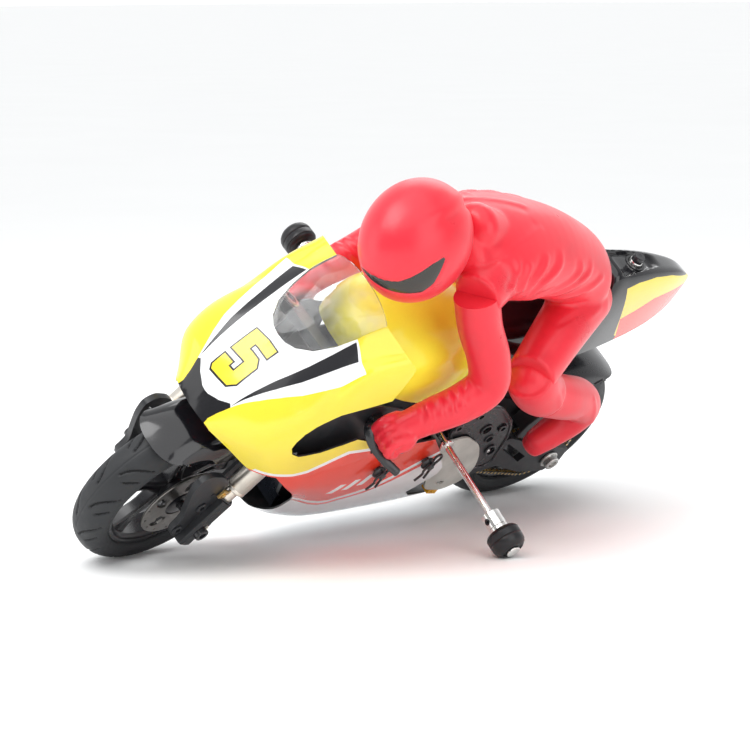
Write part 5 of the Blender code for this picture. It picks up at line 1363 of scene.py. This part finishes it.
def treaded_tyre(name, body, centre, radius, width, rim_r, repeats, node):
    """A tyre with a round crown, hockey-stick grooves on both shoulders, a parting line and ribbed walls."""
    half, around, across = width / 2, 520, 64
    t = np.radians(np.linspace(-78, 78, across + 1))
    out, up = half * np.sin(t), radius - half * 0.85 * (1 - np.cos(t))
    arc = np.concatenate([[0], np.cumsum(np.hypot(np.diff(out), np.diff(up)))])
    arc -= arc[across // 2]
    turn = 2 * np.pi * np.arange(around) / around
    pitch = 2 * np.pi * radius / repeats
    depth = tread_depth(*np.meshgrid(arc, turn * radius), pitch, pitch / 28)
    normal = np.stack([np.gradient(up), -np.gradient(out)], axis=1)
    normal /= -np.linalg.norm(normal, axis=1, keepdims=True)
    bead = rim_r + 0.35
    wall = [(0.985, 0.86), (0.99, 0.70), (0.955, 0.60), (0.965, 0.54), (0.93, 0.40), (0.87, 0.24), (0.86, 0.14),
            (0.80, 0.06), (0.74, 0)]
    low = up[0] - bead
    side = [(half * a, bead + low * b) for a, b in wall]
    rows = []
    for i in range(around):
        c, s = math.cos(turn[i]), math.sin(turn[i])
        line = [(out[j] - normal[j, 0] * depth[i, j], up[j] - normal[j, 1] * depth[i, j]) for j in range(across + 1)]
        loop = [(-y, r) for y, r in reversed(side)] + line + side
        rows.append([centre + Vector((r * c, y, r * s)) for y, r in loop])
    work = loft(rows, closed=True)
    # Faces deep in the grooves take the darker rubber, as painted shade in the recesses.
    sunk = {(round(p.x, 2), round(p.y, 2), round(p.z, 2)) for i in range(around) for j, p in
            enumerate(rows[i][len(side):len(side) + across + 1]) if depth[i, j] > 0.5}
    for face in work.faces:
        if sum((round(v.co.x, 2), round(v.co.y, 2), round(v.co.z, 2)) in sunk for v in face.verts) >= 3:
            face.material_index = 1
    piece(name, body, work, ["rubber", "groove"], node, smooth=60)


def spoked_rim(name, body, centre, rim_r, width, hub_r, hub_half, node, spoke):
    """A cast rim: a dropped well, rolled lips, five waisted spokes with a channel down each, and a drilled hub."""
    half = width / 2 * 0.72
    well = [(-half, rim_r), (-half, rim_r - 1.6), (-half + 0.6, rim_r - 2.3), (-half + 1.8, rim_r - 2.6),
            (-half + 3.4, rim_r - 4.4), (half - 3.4, rim_r - 4.4), (half - 1.8, rim_r - 2.6), (half - 0.6, rim_r - 2.3),
            (half, rim_r - 1.6), (half, rim_r), (half - 1.2, rim_r), (half - 3, rim_r - 1.6),
            (-half + 3, rim_r - 1.6), (-half + 1.2, rim_r)]
    parts = [turned(well, centre, LATERAL, 144)]
    hub = [(-hub_half, 3), (hub_half, 3), (hub_half, hub_r - 2), (hub_half - 1.2, hub_r - 0.6),
           (hub_half * 0.55, hub_r), (-hub_half * 0.55, hub_r), (-hub_half + 1.2, hub_r - 0.6), (-hub_half, hub_r - 2)]
    parts.append(turned(hub, centre, LATERAL, 56))
    for i in range(5):
        angle = 2 * math.pi * i / 5 + 0.3
        out = Vector((math.cos(angle), 0, math.sin(angle)))
        side = out.cross(LATERAL)
        sections = []
        for f in np.linspace(0, 1, 9):
            reach = hub_r - 1.5 + (rim_r - 2.9 - hub_r) * f
            wide = 3.4 + 3.6 * (2 * f - 0.85) ** 2
            deep = spoke - 0.9 * math.sin(math.pi * f)
            groove = deep - 1.5 * math.sin(math.pi * f) ** 0.6
            outline = [(-wide, -deep + 1), (-wide + 1, -deep), (-wide * 0.45, -deep), (-wide * 0.3, -groove),
                       (wide * 0.3, -groove), (wide * 0.45, -deep), (wide - 1, -deep), (wide, -deep + 1),
                       (wide, deep - 1), (wide - 1, deep), (wide * 0.45, deep), (wide * 0.3, groove),
                       (-wide * 0.3, groove), (-wide * 0.45, deep), (-wide + 1, deep), (-wide, deep - 1)]
            sections.append([centre + out * reach + side * a + LATERAL * b for a, b in outline])
        parts.append(loft(sections))
    piece(name, body, parts, "satin_black", node, smooth=35)


def polar(centre, points, y_low, y_high):
    """A slab whose outline is given as (radius, degrees) about a point in the side view."""
    outline = [(centre.x + r * math.cos(math.radians(t)), centre.z + r * math.sin(math.radians(t))) for r, t in points]
    return slab(outline, y_low, y_high)


def brake_disc():
    """The gunmetal disc with five hooked windows, its black carrier and one brass tab."""
    centre = FRONT_AXLE
    profile = [(13.6, 9.5), (15, 9.5), (15, 24.5), (14.7, 24.8), (13.9, 24.8), (13.6, 24.5)]
    face = turned(profile, centre, LATERAL, 120)
    hook = [(11.4, 4), (14.6, 1), (18.6, 8), (20.6, 16), (20.9, 27), (19.2, 29), (17, 24), (15.6, 33), (13, 30),
            (12.4, 18)]
    tools = [polar(centre, [(r, t + 72 * i) for r, t in hook], 12, 17) for i in range(5)]
    tools += [rod(centre + Vector((math.cos(t) * 22.6, 12, math.sin(t) * 22.6)),
                  centre + Vector((math.cos(t) * 22.6, 17, math.sin(t) * 22.6)), 0.8, 14)
              for t in (2 * math.pi * k / 15 for k in range(15))]
    piece("brake_disc_face", "front_wheel", carved(face, tools), "gunmetal", "front_disc", bevel=0.12)
    hub = [(11.35, 3), (15.4, 3), (15.4, 7.4), (14.9, 8.6), (13.4, 10.2), (11.35, 8.5)]
    piece("brake_disc_carrier", "front_wheel", turned(hub, centre, LATERAL, 56), "satin_black", bevel=0.1)
    tab = polar(centre, [(9.8, 196), (10.4, 216), (17, 208), (22.6, 203), (22.9, 199), (16, 203)], 15, 15.7)
    piece("brake_disc_tab", "front_wheel", tab, "brass", bevel=0.12)


def toothed_disc(teeth, root, tip, centre, y_low, y_high):
    """A sprocket's outline with pointed teeth."""
    shape = ((-0.34, root), (-0.20, root + (tip - root) * 0.55), (-0.07, tip), (0.07, tip),
             (0.20, root + (tip - root) * 0.55), (0.34, root))
    outline = []
    for i in range(teeth):
        for offset, radius in shape:
            t = 2 * math.pi * (i + offset) / teeth
            outline.append((centre.x + radius * math.cos(t), centre.z + radius * math.sin(t)))
    return slab(outline, y_low, y_high)


def rear_drive():
    """The rear sprocket with lightening windows, its hub and bolts, and the chain."""
    centre = REAR_AXLE
    plate = toothed_disc(REAR_TEETH, PITCH_REAR_R - 1.1, PITCH_REAR_R + 0.85, centre, CHAIN_Y - 0.7, CHAIN_Y + 0.7)
    window = [(11, 10), (16, 6), (18, 12), (18.4, 30), (18, 48), (16, 54), (11, 50)]
    tools = [polar(centre, [(r, t + 60 * i) for r, t in window], CHAIN_Y - 3, CHAIN_Y + 3) for i in range(6)]
    tools.append(rod(centre + LATERAL * 10, centre + LATERAL * 30, 4, 32))
    piece("rear_sprocket_plate", "rear_wheel", carved(plate, tools), "dark_steel", "rear_sprocket", bevel=0.12)
    hub = turned([(14.35, 3), (25, 3), (25, 7.6), (24.2, 8.5), (14.35, 8.5)], centre, LATERAL, 48)
    bolts = [rod(centre + Vector((6.3 * math.cos(t), 24.9, 6.3 * math.sin(t))),
                 centre + Vector((6.3 * math.cos(t), 25.3, 6.3 * math.sin(t))), 0.9, 6)
             for t in (2 * math.pi * k / 6 for k in range(6))]
    piece("rear_sprocket_hub", "rear_wheel", [hub, *bolts], "dark_steel", bevel=0.1)
    chain()


def chain():
    """The chain's rollers and plates, spaced along the band round both sprockets."""
    rise = PIVOT_Z - REAR_R
    line = math.atan2(rise, PIVOT_X)
    spread = math.acos((PITCH_REAR_R - PITCH_FRONT_R) / math.hypot(PIVOT_X, rise))
    lift = 2.45                            # the chain runs this far outside the pitch circles
    path = []
    for k in range(121):
        t = line + spread + (2 * math.pi - 2 * spread) * k / 120
        path.append(((PITCH_REAR_R + lift) * math.cos(t), REAR_R + (PITCH_REAR_R + lift) * math.sin(t)))
    for k in range(41):
        t = line - spread + 2 * spread * k / 40
        path.append((PIVOT_X + (PITCH_FRONT_R + lift) * math.cos(t), PIVOT_Z + (PITCH_FRONT_R + lift) * math.sin(t)))
    path = np.array(path + path[:1])
    reach = np.concatenate([[0], np.cumsum(np.hypot(*np.diff(path, axis=0).T))])
    count = 2 * round(reach[-1] / CHAIN_PITCH / 2)
    spots = np.stack([np.interp(np.arange(count) * reach[-1] / count, reach, path[:, k]) for k in (0, 1)], axis=1)
    rollers, plates = [], []
    for i, (x, z) in enumerate(spots):
        rollers.append(rod((x, CHAIN_Y - 1.75, z), (x, CHAIN_Y + 1.75, z), 0.95, 12, soft=0.15))
        nx, nz = spots[(i + 1) % count]
        along = np.array([nx - x, nz - z])
        length = np.linalg.norm(along)
        along /= length
        side = np.array([-along[1], along[0]])
        outline = []
        for origin, turn in ((0, math.pi / 2), (length, -math.pi / 2)):
            for k in range(7):
                t = turn + math.pi * k / 6
                outline.append((origin + 1.2 * math.cos(t), 1.2 * math.sin(t)))
            outline.append((length / 2, 0.8 if origin else -0.8))
        shape = [tuple(np.array([x, z]) + along * a + side * b) for a, b in outline]
        near, far = (1, 1.35) if i % 2 else (1.38, 1.72)
        plates.append(slab(shape, CHAIN_Y + near, CHAIN_Y + far))
        plates.append(slab(shape, CHAIN_Y - far, CHAIN_Y - near))
    piece("chain_rollers", "swing_arm", rollers, "brass", "chain")
    piece("chain_side_plates", "swing_arm", plates, "dark_steel", smooth=30)


def wheels():
    """Both wheels, each a tyre on a rim, then the front disc and the rear drive."""
    for word, centre, radius, width, rim_r, repeats, hub_r, hub_half, spoke in (
            ("front", FRONT_AXLE, FRONT_R, 25, 42, 13, 8, 11, 4.4),
            ("rear", REAR_AXLE, REAR_R, 36, 41, 12, 9, 14, 5.2)):
        body = f"{word}_wheel"
        treaded_tyre(f"{word}_treaded_tyre", body, centre, radius, width, rim_r, repeats, f"{word}_tyre")
        spoked_rim(f"{word}_cast_rim", body, centre, rim_r, width, hub_r, hub_half, f"{word}_rim", spoke)
    brake_disc()
    rear_drive()


# ---------------------------------------------------------------- guards, fork and swingarm details
def guard_sheet(centre, radius, half_width, start, stop, skirt, blunt, corner):
    """A guard over a tyre: arch-shaped across, following a circle round the axle, with its skirts drawn down."""
    ribs = []
    for i in range(13):
        f = i / 12
        middle = 1 - abs(2 * f - 1) ** blunt
        wide = half_width * (0.94 + 0.06 * middle)
        rib = []
        for j in range(8):
            s = j / 7
            back = corner * s ** 2.4
            t = math.radians(start + back + (stop - start - 2 * back) * f)
            drop = (7 + (skirt - 7) * middle) * s ** 2.4
            out = radius - drop
            rib.append((centre.x + out * math.cos(t), wide * math.sin(s * math.pi / 2), centre.z + out * math.sin(t)))
        ribs.append(rib)
    return skin_sheet(ribs, 72, 30)


def guards():
    """The front guard with its stays and the rear guard with its arms."""
    front = guard_sheet(FRONT_AXLE, FRONT_R + 4, 21, 50, 134, 18, 2, 13)
    piece("front_guard", "fork_slider", front, "black", "front_fender", thick=1.3, smooth=50)
    stays = []
    for side in (1, -1):
        foot = up_fork(side, 18)
        stays.append(block(up_fork(side, 35) - LATERAL * (9.8 * side), (41, 2, 5.6), STEER_AXIS, STEER_FORE))
        stays.append(rod(foot - LATERAL * (10 * side), foot - LATERAL * (5.4 * side), 2.7, 28, soft=0.3))
    piece("front_guard_stays", "fork_slider", stays, "plastic", bevel=0.5)
    rear = guard_sheet(REAR_AXLE, REAR_R + 5.5, 22.5, 50, 124, 11, 4, 22)
    piece("rear_guard", "swing_arm", rear, "satin_black", "rear_hugger", thick=1.3, smooth=50)
    arms = []
    for side in (1, -1):
        near, far = sorted((19.8 * side, 31.4 * side))
        arms.append(slab([(33, 88), (45, 91), (43, 98), (36, 108), (30, 110)], near, far))
        near, far = sorted((28.5 * side, 31.4 * side))
        arms.append(slab([(34, 81.6), (45.6, 86.2), (45, 92), (34, 92)], near, far))
    piece("rear_guard_arms", "swing_arm", arms, "plastic", bevel=0.8)


def up_fork(side, distance, ahead=0):
    """A point on a fork leg's centre line, measured up from the axle."""
    return FRONT_AXLE + STEER_AXIS * distance + STEER_FORE * ahead + LATERAL * (FORK_Y * side)


def fork_foot(side, word):
    """The black foot of a fork leg: a chamfered bar with a broad bracket ahead of it, up to the guard."""
    section = [(-5.2, -2.6), (-2.8, -5), (3.6, -5), (5.2, -3.2), (5.2, 3.2), (3.6, 5), (-2.8, 5), (-5.2, 2.6)]
    rows = []
    for distance, swell in ((-12.4, 0.8), (-10.8, 1), (6, 1), (8, 0.96), (23.4, 0.96)):
        middle = up_fork(side, distance)
        rows.append([middle + STEER_FORE * (a * swell) + LATERAL * (b * side * swell) for a, b in section])
    axle = rod(up_fork(side, 0) - LATERAL * 9, up_fork(side, 0) + LATERAL * 9, 2.85, 32)
    socket = rod(up_fork(side, 10), up_fork(side, 26), 4.05, 32)
    parts = [carved(loft(rows), [axle, socket])]
    shape = rounded([(3, -11), (12.5, -10.5), (16.5, -5), (17, 3), (24, 11), (33, 22), (37, 31),
                     (32, 37), (20, 38), (8.2, 34), (8.2, 26), (3, 23)], 3.5, 5)
    near = [up_fork(side, u) + STEER_FORE * a - LATERAL * (4.2 * side) for a, u in shape]
    arm = loft([near, [p + LATERAL * (3.6 * side) for p in near]])
    holes = []
    for a, u in ((11.5, -5.5), (11.5, 13.5)):
        spot = up_fork(side, u) + STEER_FORE * a
        holes.append(rod(spot - LATERAL * (9 * side), spot + LATERAL * (9 * side), 1.5, 24))
        parts.append(tube(spot - LATERAL * (0.7 * side), spot + LATERAL * (0.5 * side), 3.3, 1.5, 36, 0.3))
    parts.append(carved(arm, holes))
    spot = up_fork(side, 24) + STEER_FORE * 12.5
    parts.append(block(spot - LATERAL * (0.5 * side), (4, 0.8, 1.2), STEER_FORE, STEER_AXIS))
    piece(f"fork_foot_{word}", "fork_slider", parts, "plastic", f"fork_lower_{word}", bevel=0.45)


def fork():
    """The champagne tubes and rods with their top caps, and the feet with their rings, badges and brass clips."""
    for side, word in SIDES:
        top = STEER_FOOT + STEER_AXIS * 122 + STEER_FORE * YOKE_OFFSET + LATERAL * (FORK_Y * side)
        length = (top - up_fork(side, 31)).length
        profile = [(0, 4.1), (length, 4.1), (length, 5.6), (length - 0.6, 6.2), (2.6, 6.2), (2.3, 5.95), (2, 6.2),
                   (0.5, 6.2), (0, 5.7)]
        piece(f"fork_outer_{word}", "steering", turned(profile, up_fork(side, 31), STEER_AXIS, 56), "champagne",
              f"fork_tube_{word}", smooth=40)
        radius = 3.9
        cap = turned([(0, 0.05), (0.4, 0.05), (0.4, radius * 0.5), (1, radius * 0.55), (1, radius - 0.25),
                      (0.75, radius), (0, radius)], top - STEER_AXIS, STEER_AXIS, 36)
        piece(f"fork_cap_{word}", "steering", cap, "satin_black")
        piece(f"fork_inner_{word}", "fork_slider", rod(up_fork(side, 10.5), up_fork(side, 78), 3.7, 44, soft=0.4),
              "champagne", f"fork_rod_{word}", smooth=40)
        fork_foot(side, word)
        lip = tube(up_fork(side, 23.35), up_fork(side, 24.5), 5, 3.95, 44, 0.3)
        piece(f"fork_foot_rings_{word}", "fork_slider", lip, "satin_black", bevel=0.1)
        spot = up_fork(side, 2, -0.6) + LATERAL * (5 * side)
        badge = limb([(*(spot - STEER_AXIS * 3.5), 1.5, 0.35), (*spot, 1.9, 0.45),
                      (*(spot + STEER_AXIS * 3.5), 1.5, 0.35)], 18, 3)
        piece(f"fork_foot_cap_{word}", "fork_slider", badge, "champagne")
        spot = up_fork(side, 27, 8.5) + LATERAL * (1 * side)
        clip = gathered(block(spot, (6, 1.6, 3.4), STEER_AXIS, STEER_FORE),
                        rod(spot + LATERAL * (0.6 * side), spot + LATERAL * (1.8 * side), 1.3, 20, soft=0.2))
        piece(f"fork_brass_clip_{word}", "fork_slider", clip, "brass", bevel=0.3)


def wheel_ends():
    """The axles, with a bolt head at each end of the front one, and washers and nuts on the rear one."""
    for word, body, centre, reach, finish in (("front", "fork_slider", FRONT_AXLE, FORK_Y + 5.35, "satin_black"),
                                              ("rear", "swing_arm", REAR_AXLE, 32.85, "steel")):
        parts = [rod(centre - LATERAL * (reach + 0.4), centre + LATERAL * (reach + 0.4), 2.5, 36)]
        for side in (1, -1):
            face = centre + LATERAL * (reach * side)
            if word == "rear":
                parts.append(turned([(0, 2.4), (1.4, 2.4), (1.4, 5.9), (1.1, 6.2), (0.2, 6.2), (0, 6)], face,
                                    LATERAL * side, 48))
                parts.append(turned([(1.3, 0.1), (3.6, 0.1), (3.6, 2.4), (5.2, 2.6), (5.2, 4.4), (4.7, 4.85),
                                     (1.3, 4.85)], face, LATERAL * side, 48))
            else:
                parts.append(turned([(0, 0.1), (1.3, 0.1), (1.3, 2), (2.6, 2.2), (2.6, 3.7), (2.2, 4.1), (0, 4.1)],
                                    face, LATERAL * side, 48))
        piece(f"{word}_axle_ends", body, parts, finish, f"{word}_axle", smooth=35)


SPRING_TURNS, SPRING_R, SPRING_WIRE_R = 5, 6.6, 0.88


def spring():
    """The shock's spring, wound from round wire."""
    top, foot = SHOCK_TOP, SHOCK_FOOT
    down = (foot - top).normalized()
    start, stop = top + down * 12.5, foot - down * 7.7
    side, up = frame_of(down)
    path = []
    for i in range(161):
        f = i / 160
        t = 2 * math.pi * SPRING_TURNS * f
        path.append(start + (stop - start) * f + (side * math.cos(t) + up * math.sin(t)) * SPRING_R)
    piece("shock_coil", "damper_rod", swept(path, SPRING_WIRE_R, 12), "bright", "shock_spring", smooth=60)


# ---------------------------------------------------------------- outriggers and controls
def outriggers():
    """The plated bar with its washers, the clamp collars with their screws and the two rubber rollers."""
    centre = OUTRIGGER + Vector((0, 0, 6))
    parts = [rod(centre - LATERAL * 18, centre + LATERAL * 18, 2.9, 32)]
    caps = []
    for side, word in SIDES:
        end = Vector((OUTRIGGER.x, OUTRIGGER_Y * side, OUTRIGGER.z))
        out = (end - (centre + LATERAL * (10 * side))).normalized()
        half = ROLLER_L / 2
        parts.append(rod(end - out * (half + 97), end + out * (half + 0.5), 2, 36))
        flange = end - out * 68
        parts.append(turned([(0, 1.9), (1.6, 1.9), (1.6, 3.9), (1.2, 4.5), (0.4, 4.6), (0, 4.2)], flange, out, 44))
        parts.append(turned([(-1, 1.9), (-0.15, 1.9), (-0.15, 3.3), (-1, 3.3)], flange, out, 44))
        cap = end + out * (half + 0.35)
        caps.append(turned([(0, 0.05), (1.3, 0.05), (1.5, 1), (1.2, 3.8), (0.8, 4.2), (0, 4.2)], cap, out, 44))
        low, high = end - out * 19, end - out * (half + 0.35)
        length = (high - low).length
        collar = turned([(0, 2.2), (length, 2.2), (length, 5), (length - 0.5, 5.6), (length - 2.2, 5.6),
                         (length - 2.5, 5.3), (length - 2.8, 5.6), (0.5, 5.6), (0, 5.1)], low, out, 60)
        across, _ = frame_of(out)
        spot = low + out * 5
        collar = carved(collar, [rod(spot + across * 2.4, spot + across * 9, 1.95, 28)])
        piece(f"roller_collar_{word}", "bike", collar, "bright", f"outrigger_collar_{word}", smooth=35)
        screw = turned([(2.6, 0.1), (4, 0.1), (4, 0.85), (5.1, 0.95), (5.1, 1.6), (4.9, 1.8), (2.6, 1.8)], spot,
                       across, 24)
        piece(f"roller_set_screw_{word}", "bike", screw, "satin_black", smooth=35)
        profile = [(-half, 2.5), (half, 2.5), (half, 4.4), (half - 0.5, 5.2), (half - 0.5, 6), (half, 6.4),
                   (half - 0.5, 7.4), (half - 1.9, 8.9), (half - 3.4, 9.7), (half - 5, 10), (half - 6.4, 10),
                   (half - 6.7, 9.65), (half - 7, 10), (2.6 - half, 10), (2.3 - half, 9.6), (2 - half, 10),
                   (1.1 - half, 9.6), (0.4 - half, 8.9), (-half, 7.8)]
        piece(f"roller_wheel_{word}", f"roller_{word}", turned(profile, end, out, 72), "roller",
              f"outrigger_roller_{word}", smooth=50)
    piece("outrigger_rod", "bike", parts, "bright", "outrigger_bar", smooth=35)
    piece("outrigger_end_caps", "bike", caps, "bright", smooth=35)


BAR_PATH = [(198, 20, 129, 3, 3), (205, 34, 141, 2.6, 2.6), (204, 44, 143, 2.4, 2.4),
            (198.5, 62, 141, 2.4, 2.4)]
LEVER_PATH = [(206, 43, 144, 4.2, 2.6), (212.5, 47.5, 143.6, 4.4, 1.7), (212, 54.5, 138.6, 3.4, 1.4),
              (207.2, 62.5, 134.2, 2.7, 1.3), (202, 70, 132, 2.5, 1.5)]


def controls():
    """The handlebars with their levers, and the cross rods with domed washers and spring clips."""
    for side, word in SIDES:
        parts = [limb(sided(BAR_PATH, side, 20), 24, 4), limb(sided(LEVER_PATH, side, 26), 24, 4),
                 block((206, 42 * side, 143.6), (8.5, 5, 7.2), (1, 0.3 * side, 0.1))]
        piece(f"control_bar_{word}", "bike", parts, "satin_black", f"handlebar_{word}", bevel=0.4)
    for word, (x, z) in zip(("front", "rear"), POSTS):
        parts = [rod((x, -51.6, z), (x, 51.6, z), 2.2, 28, soft=0.4)]
        for side in (1, -1):
            dome = [(0, 2), (0.2, 4.4), (0.7, 4.6), (1.5, 4.2), (2.2, 3.3), (2.5, 2)]
            parts.append(turned(dome, (x, 46.9 * side, z), LATERAL * side, 40))
            y = 50.4 * side
            bends = [(-10, -2.5), (-3, -1.8), (2.5, -1.6), (6, -2.8), (9, -2.4), (10.5, 0), (9, 2.4),
                     (6, 2.2), (2.8, 0.6), (0, 2.6), (-3, 3.2), (-6, 2), (-11, 4.5)]
            wire = [(x + b * 0.95 - a * 0.13, y, z + a) for a, b in bends]
            parts.append(swept(spline(wire, 60), 0.75, 10))
        piece(f"body_post_clip_{word}", "bike", parts, "satin_black", f"body_post_{word}", smooth=45)


# ---------------------------------------------------------------- drive covers
def rounded(outline, radius, count):
    """A polygon with its corners rounded."""
    points = [Vector(p) for p in outline]
    out = []
    for i, here in enumerate(points):
        before, after = points[i - 1], points[(i + 1) % len(points)]
        reach = min(radius, (before - here).length * 0.45, (after - here).length * 0.45)
        a, b = here + (before - here).normalized() * reach, here + (after - here).normalized() * reach
        for k in range(count + 1):
            f = k / count
            out.append(tuple(a * (1 - f) ** 2 + here * (2 * f * (1 - f)) + b * f ** 2))
    return out


def hoop(x, z, y_low, y_high, outer, inner, stretch=0, lean=0):
    """A raised ring, or an oblong one, standing on a side plate."""
    sections = []
    for i in range(40):
        t = 2 * math.pi * i / 40
        shift = stretch if math.cos(t) > 0 else -stretch
        row = []
        for y, r in ((y_low, inner), (y_high, inner), (y_high, outer - 0.3), (y_high - 0.3, outer), (y_low, outer)):
            a, b = r * math.cos(t) + shift, r * math.sin(t)
            row.append(Vector((x + a * math.cos(lean) - b * math.sin(lean), y,
                               z + a * math.sin(lean) + b * math.cos(lean))))
        sections.append(row)
    return loft(sections, closed=True)


def covers():
    """The black cover with its bosses and pins, and the pale guard plate with its latch, block and power leads."""
    low = 33.3                             # the cover's inner face; the guard plate stands further out
    outline = [(59, 71), (63, 67), (72, 66), (90, 84), (108, 94), (121, 108), (119, 120),
               (109, 127), (101, 129.5), (86, 125), (68, 110), (61, 96)]
    edge = rounded(outline, 5, 5)
    bosses = ((103, 121), (74, 105), (116, 113))
    tools = [rod((x, low - 3, z), (x, low + 5, z), radius, 28)
             for x, z, radius in ((88, 106, 3), (70, 84, 2.6), (79, 96, 2.4))]
    legs = [rod((x, 17, z), (x, low + 0.4, z), 2.6, 24) for x, z in bosses]
    parts = [carved(slab(edge, low, low + 1.6), tools), *legs]
    parts += [hoop(x, z, low + 1.5, low + 3, 3.2, 1.6) for x, z in bosses]
    parts.append(hoop(88, 106, low + 1.5, low + 2.6, 4.4, 3))
    parts.append(hoop(79, 96, low + 1.5, low + 2.4, 3.6, 2.4))
    parts.append(hoop(70, 84, low + 1.5, low + 2.8, 4, 2.6, 1.2, 0.9))
    rim_points = [Vector((x, low + 1.6, z)) for x, z in edge]
    middle = sum(rim_points, Vector()) / len(rim_points)
    inset = [p + (middle - p).normalized() * 1.6 for p in rim_points]
    parts.append(swept(inset, 0.9, 8, closed=True))
    piece("drive_cover", "bike", parts, "satin_black", "gear_cover", bevel=0.25)
    pin = gathered(rod((70.6, low - 0.3, 82.6), (70.6, low + 1.9, 82.6), 1.5, 24, soft=0.3),
                   rod((74, low - 0.3, 87.6), (74, low + 1.6, 87.6), 1.2, 24, soft=0.3))
    piece("drive_cover_pins", "bike", pin, "bright", smooth=40)
    low += 2.55
    guard = [(123, 103), (104, 105), (88, 95), (80, 83), (76, 71), (80, 60), (94, 54.5),
             (110, 58), (117, 74)]
    plate = slab(rounded(guard, 5, 8), low, low + 1.7)
    slot = block((99.5, low + 0.8, 62.6), (5.6, 6, 2.6), (1, 0, 0.15))
    legs = [rod((x, 17, z), (x, low + 0.4, z), 2.4, 24) for x, z in ((112, 68), (118, 97))]
    piece("drive_guard_plate", "bike", [carved(plate, [slot]), *legs], "grey", "side_guard", bevel=0.35)
    latch = block((99.5, low + 0.5, 62.6), (2, 0.9, 3), (1, 0, 0.15))
    piece("drive_guard_latch", "bike", latch, "steel", bevel=0.2)
    block_out = gathered(block((94, 31, 50), (8, 6, 6), (1, 0, 0.2)),
                         rod((94, 34, 50), (94, 34.8, 50), 2, 24, soft=0.3))
    piece("amber_cable_block", "bike", block_out, "amber", bevel=1)
    for word, finish, path in (
            ("upper", "red", [(120, 8, 76), (116, 17.8, 74), (108, 20, 66), (100, 20, 54), (96, 25, 51)]),
            ("lower", "satin_black", [(124, 6, 60), (118, 16, 56), (106, 20, 50), (97, 25, 48)])):
        lead = swept(spline(path, 30), 1.3, 12)
        piece(f"power_lead_{word}", "bike", lead, finish, smooth=60)


wheels()
guards()
fork()
wheel_ends()
spring()
outriggers()
controls()
covers()

# ---------------------------------------------------------------- the carried-over nodes
DRESSED = {
    "plastic": ("swingarm", "yoke_lower", "yoke_upper", "subframe", "steering_servo"),
    "satin_black": ("servo_horn",),
    "circuit": ("speed_controller", "receiver"),
    "pack": ("battery",),
    "carbon": ("chassis_left", "chassis_right"),
    "steel": ("shock_rod", "steering_rod", "layshaft", "motor_shaft"),
    "gunmetal": ("motor_can", "steering_head"),
    "dark_steel": ("shock_body",),
}
EDGES = {"swingarm": 0.7, "battery": 2.2, "layshaft": 0.12, "motor_shaft": 0.12, "motor_can": 0.6}
for FINISH, NAMES in DRESSED.items():
    for NAME in NAMES:
        dress(NAME, FINISH, EDGES.get(NAME, 0.3))
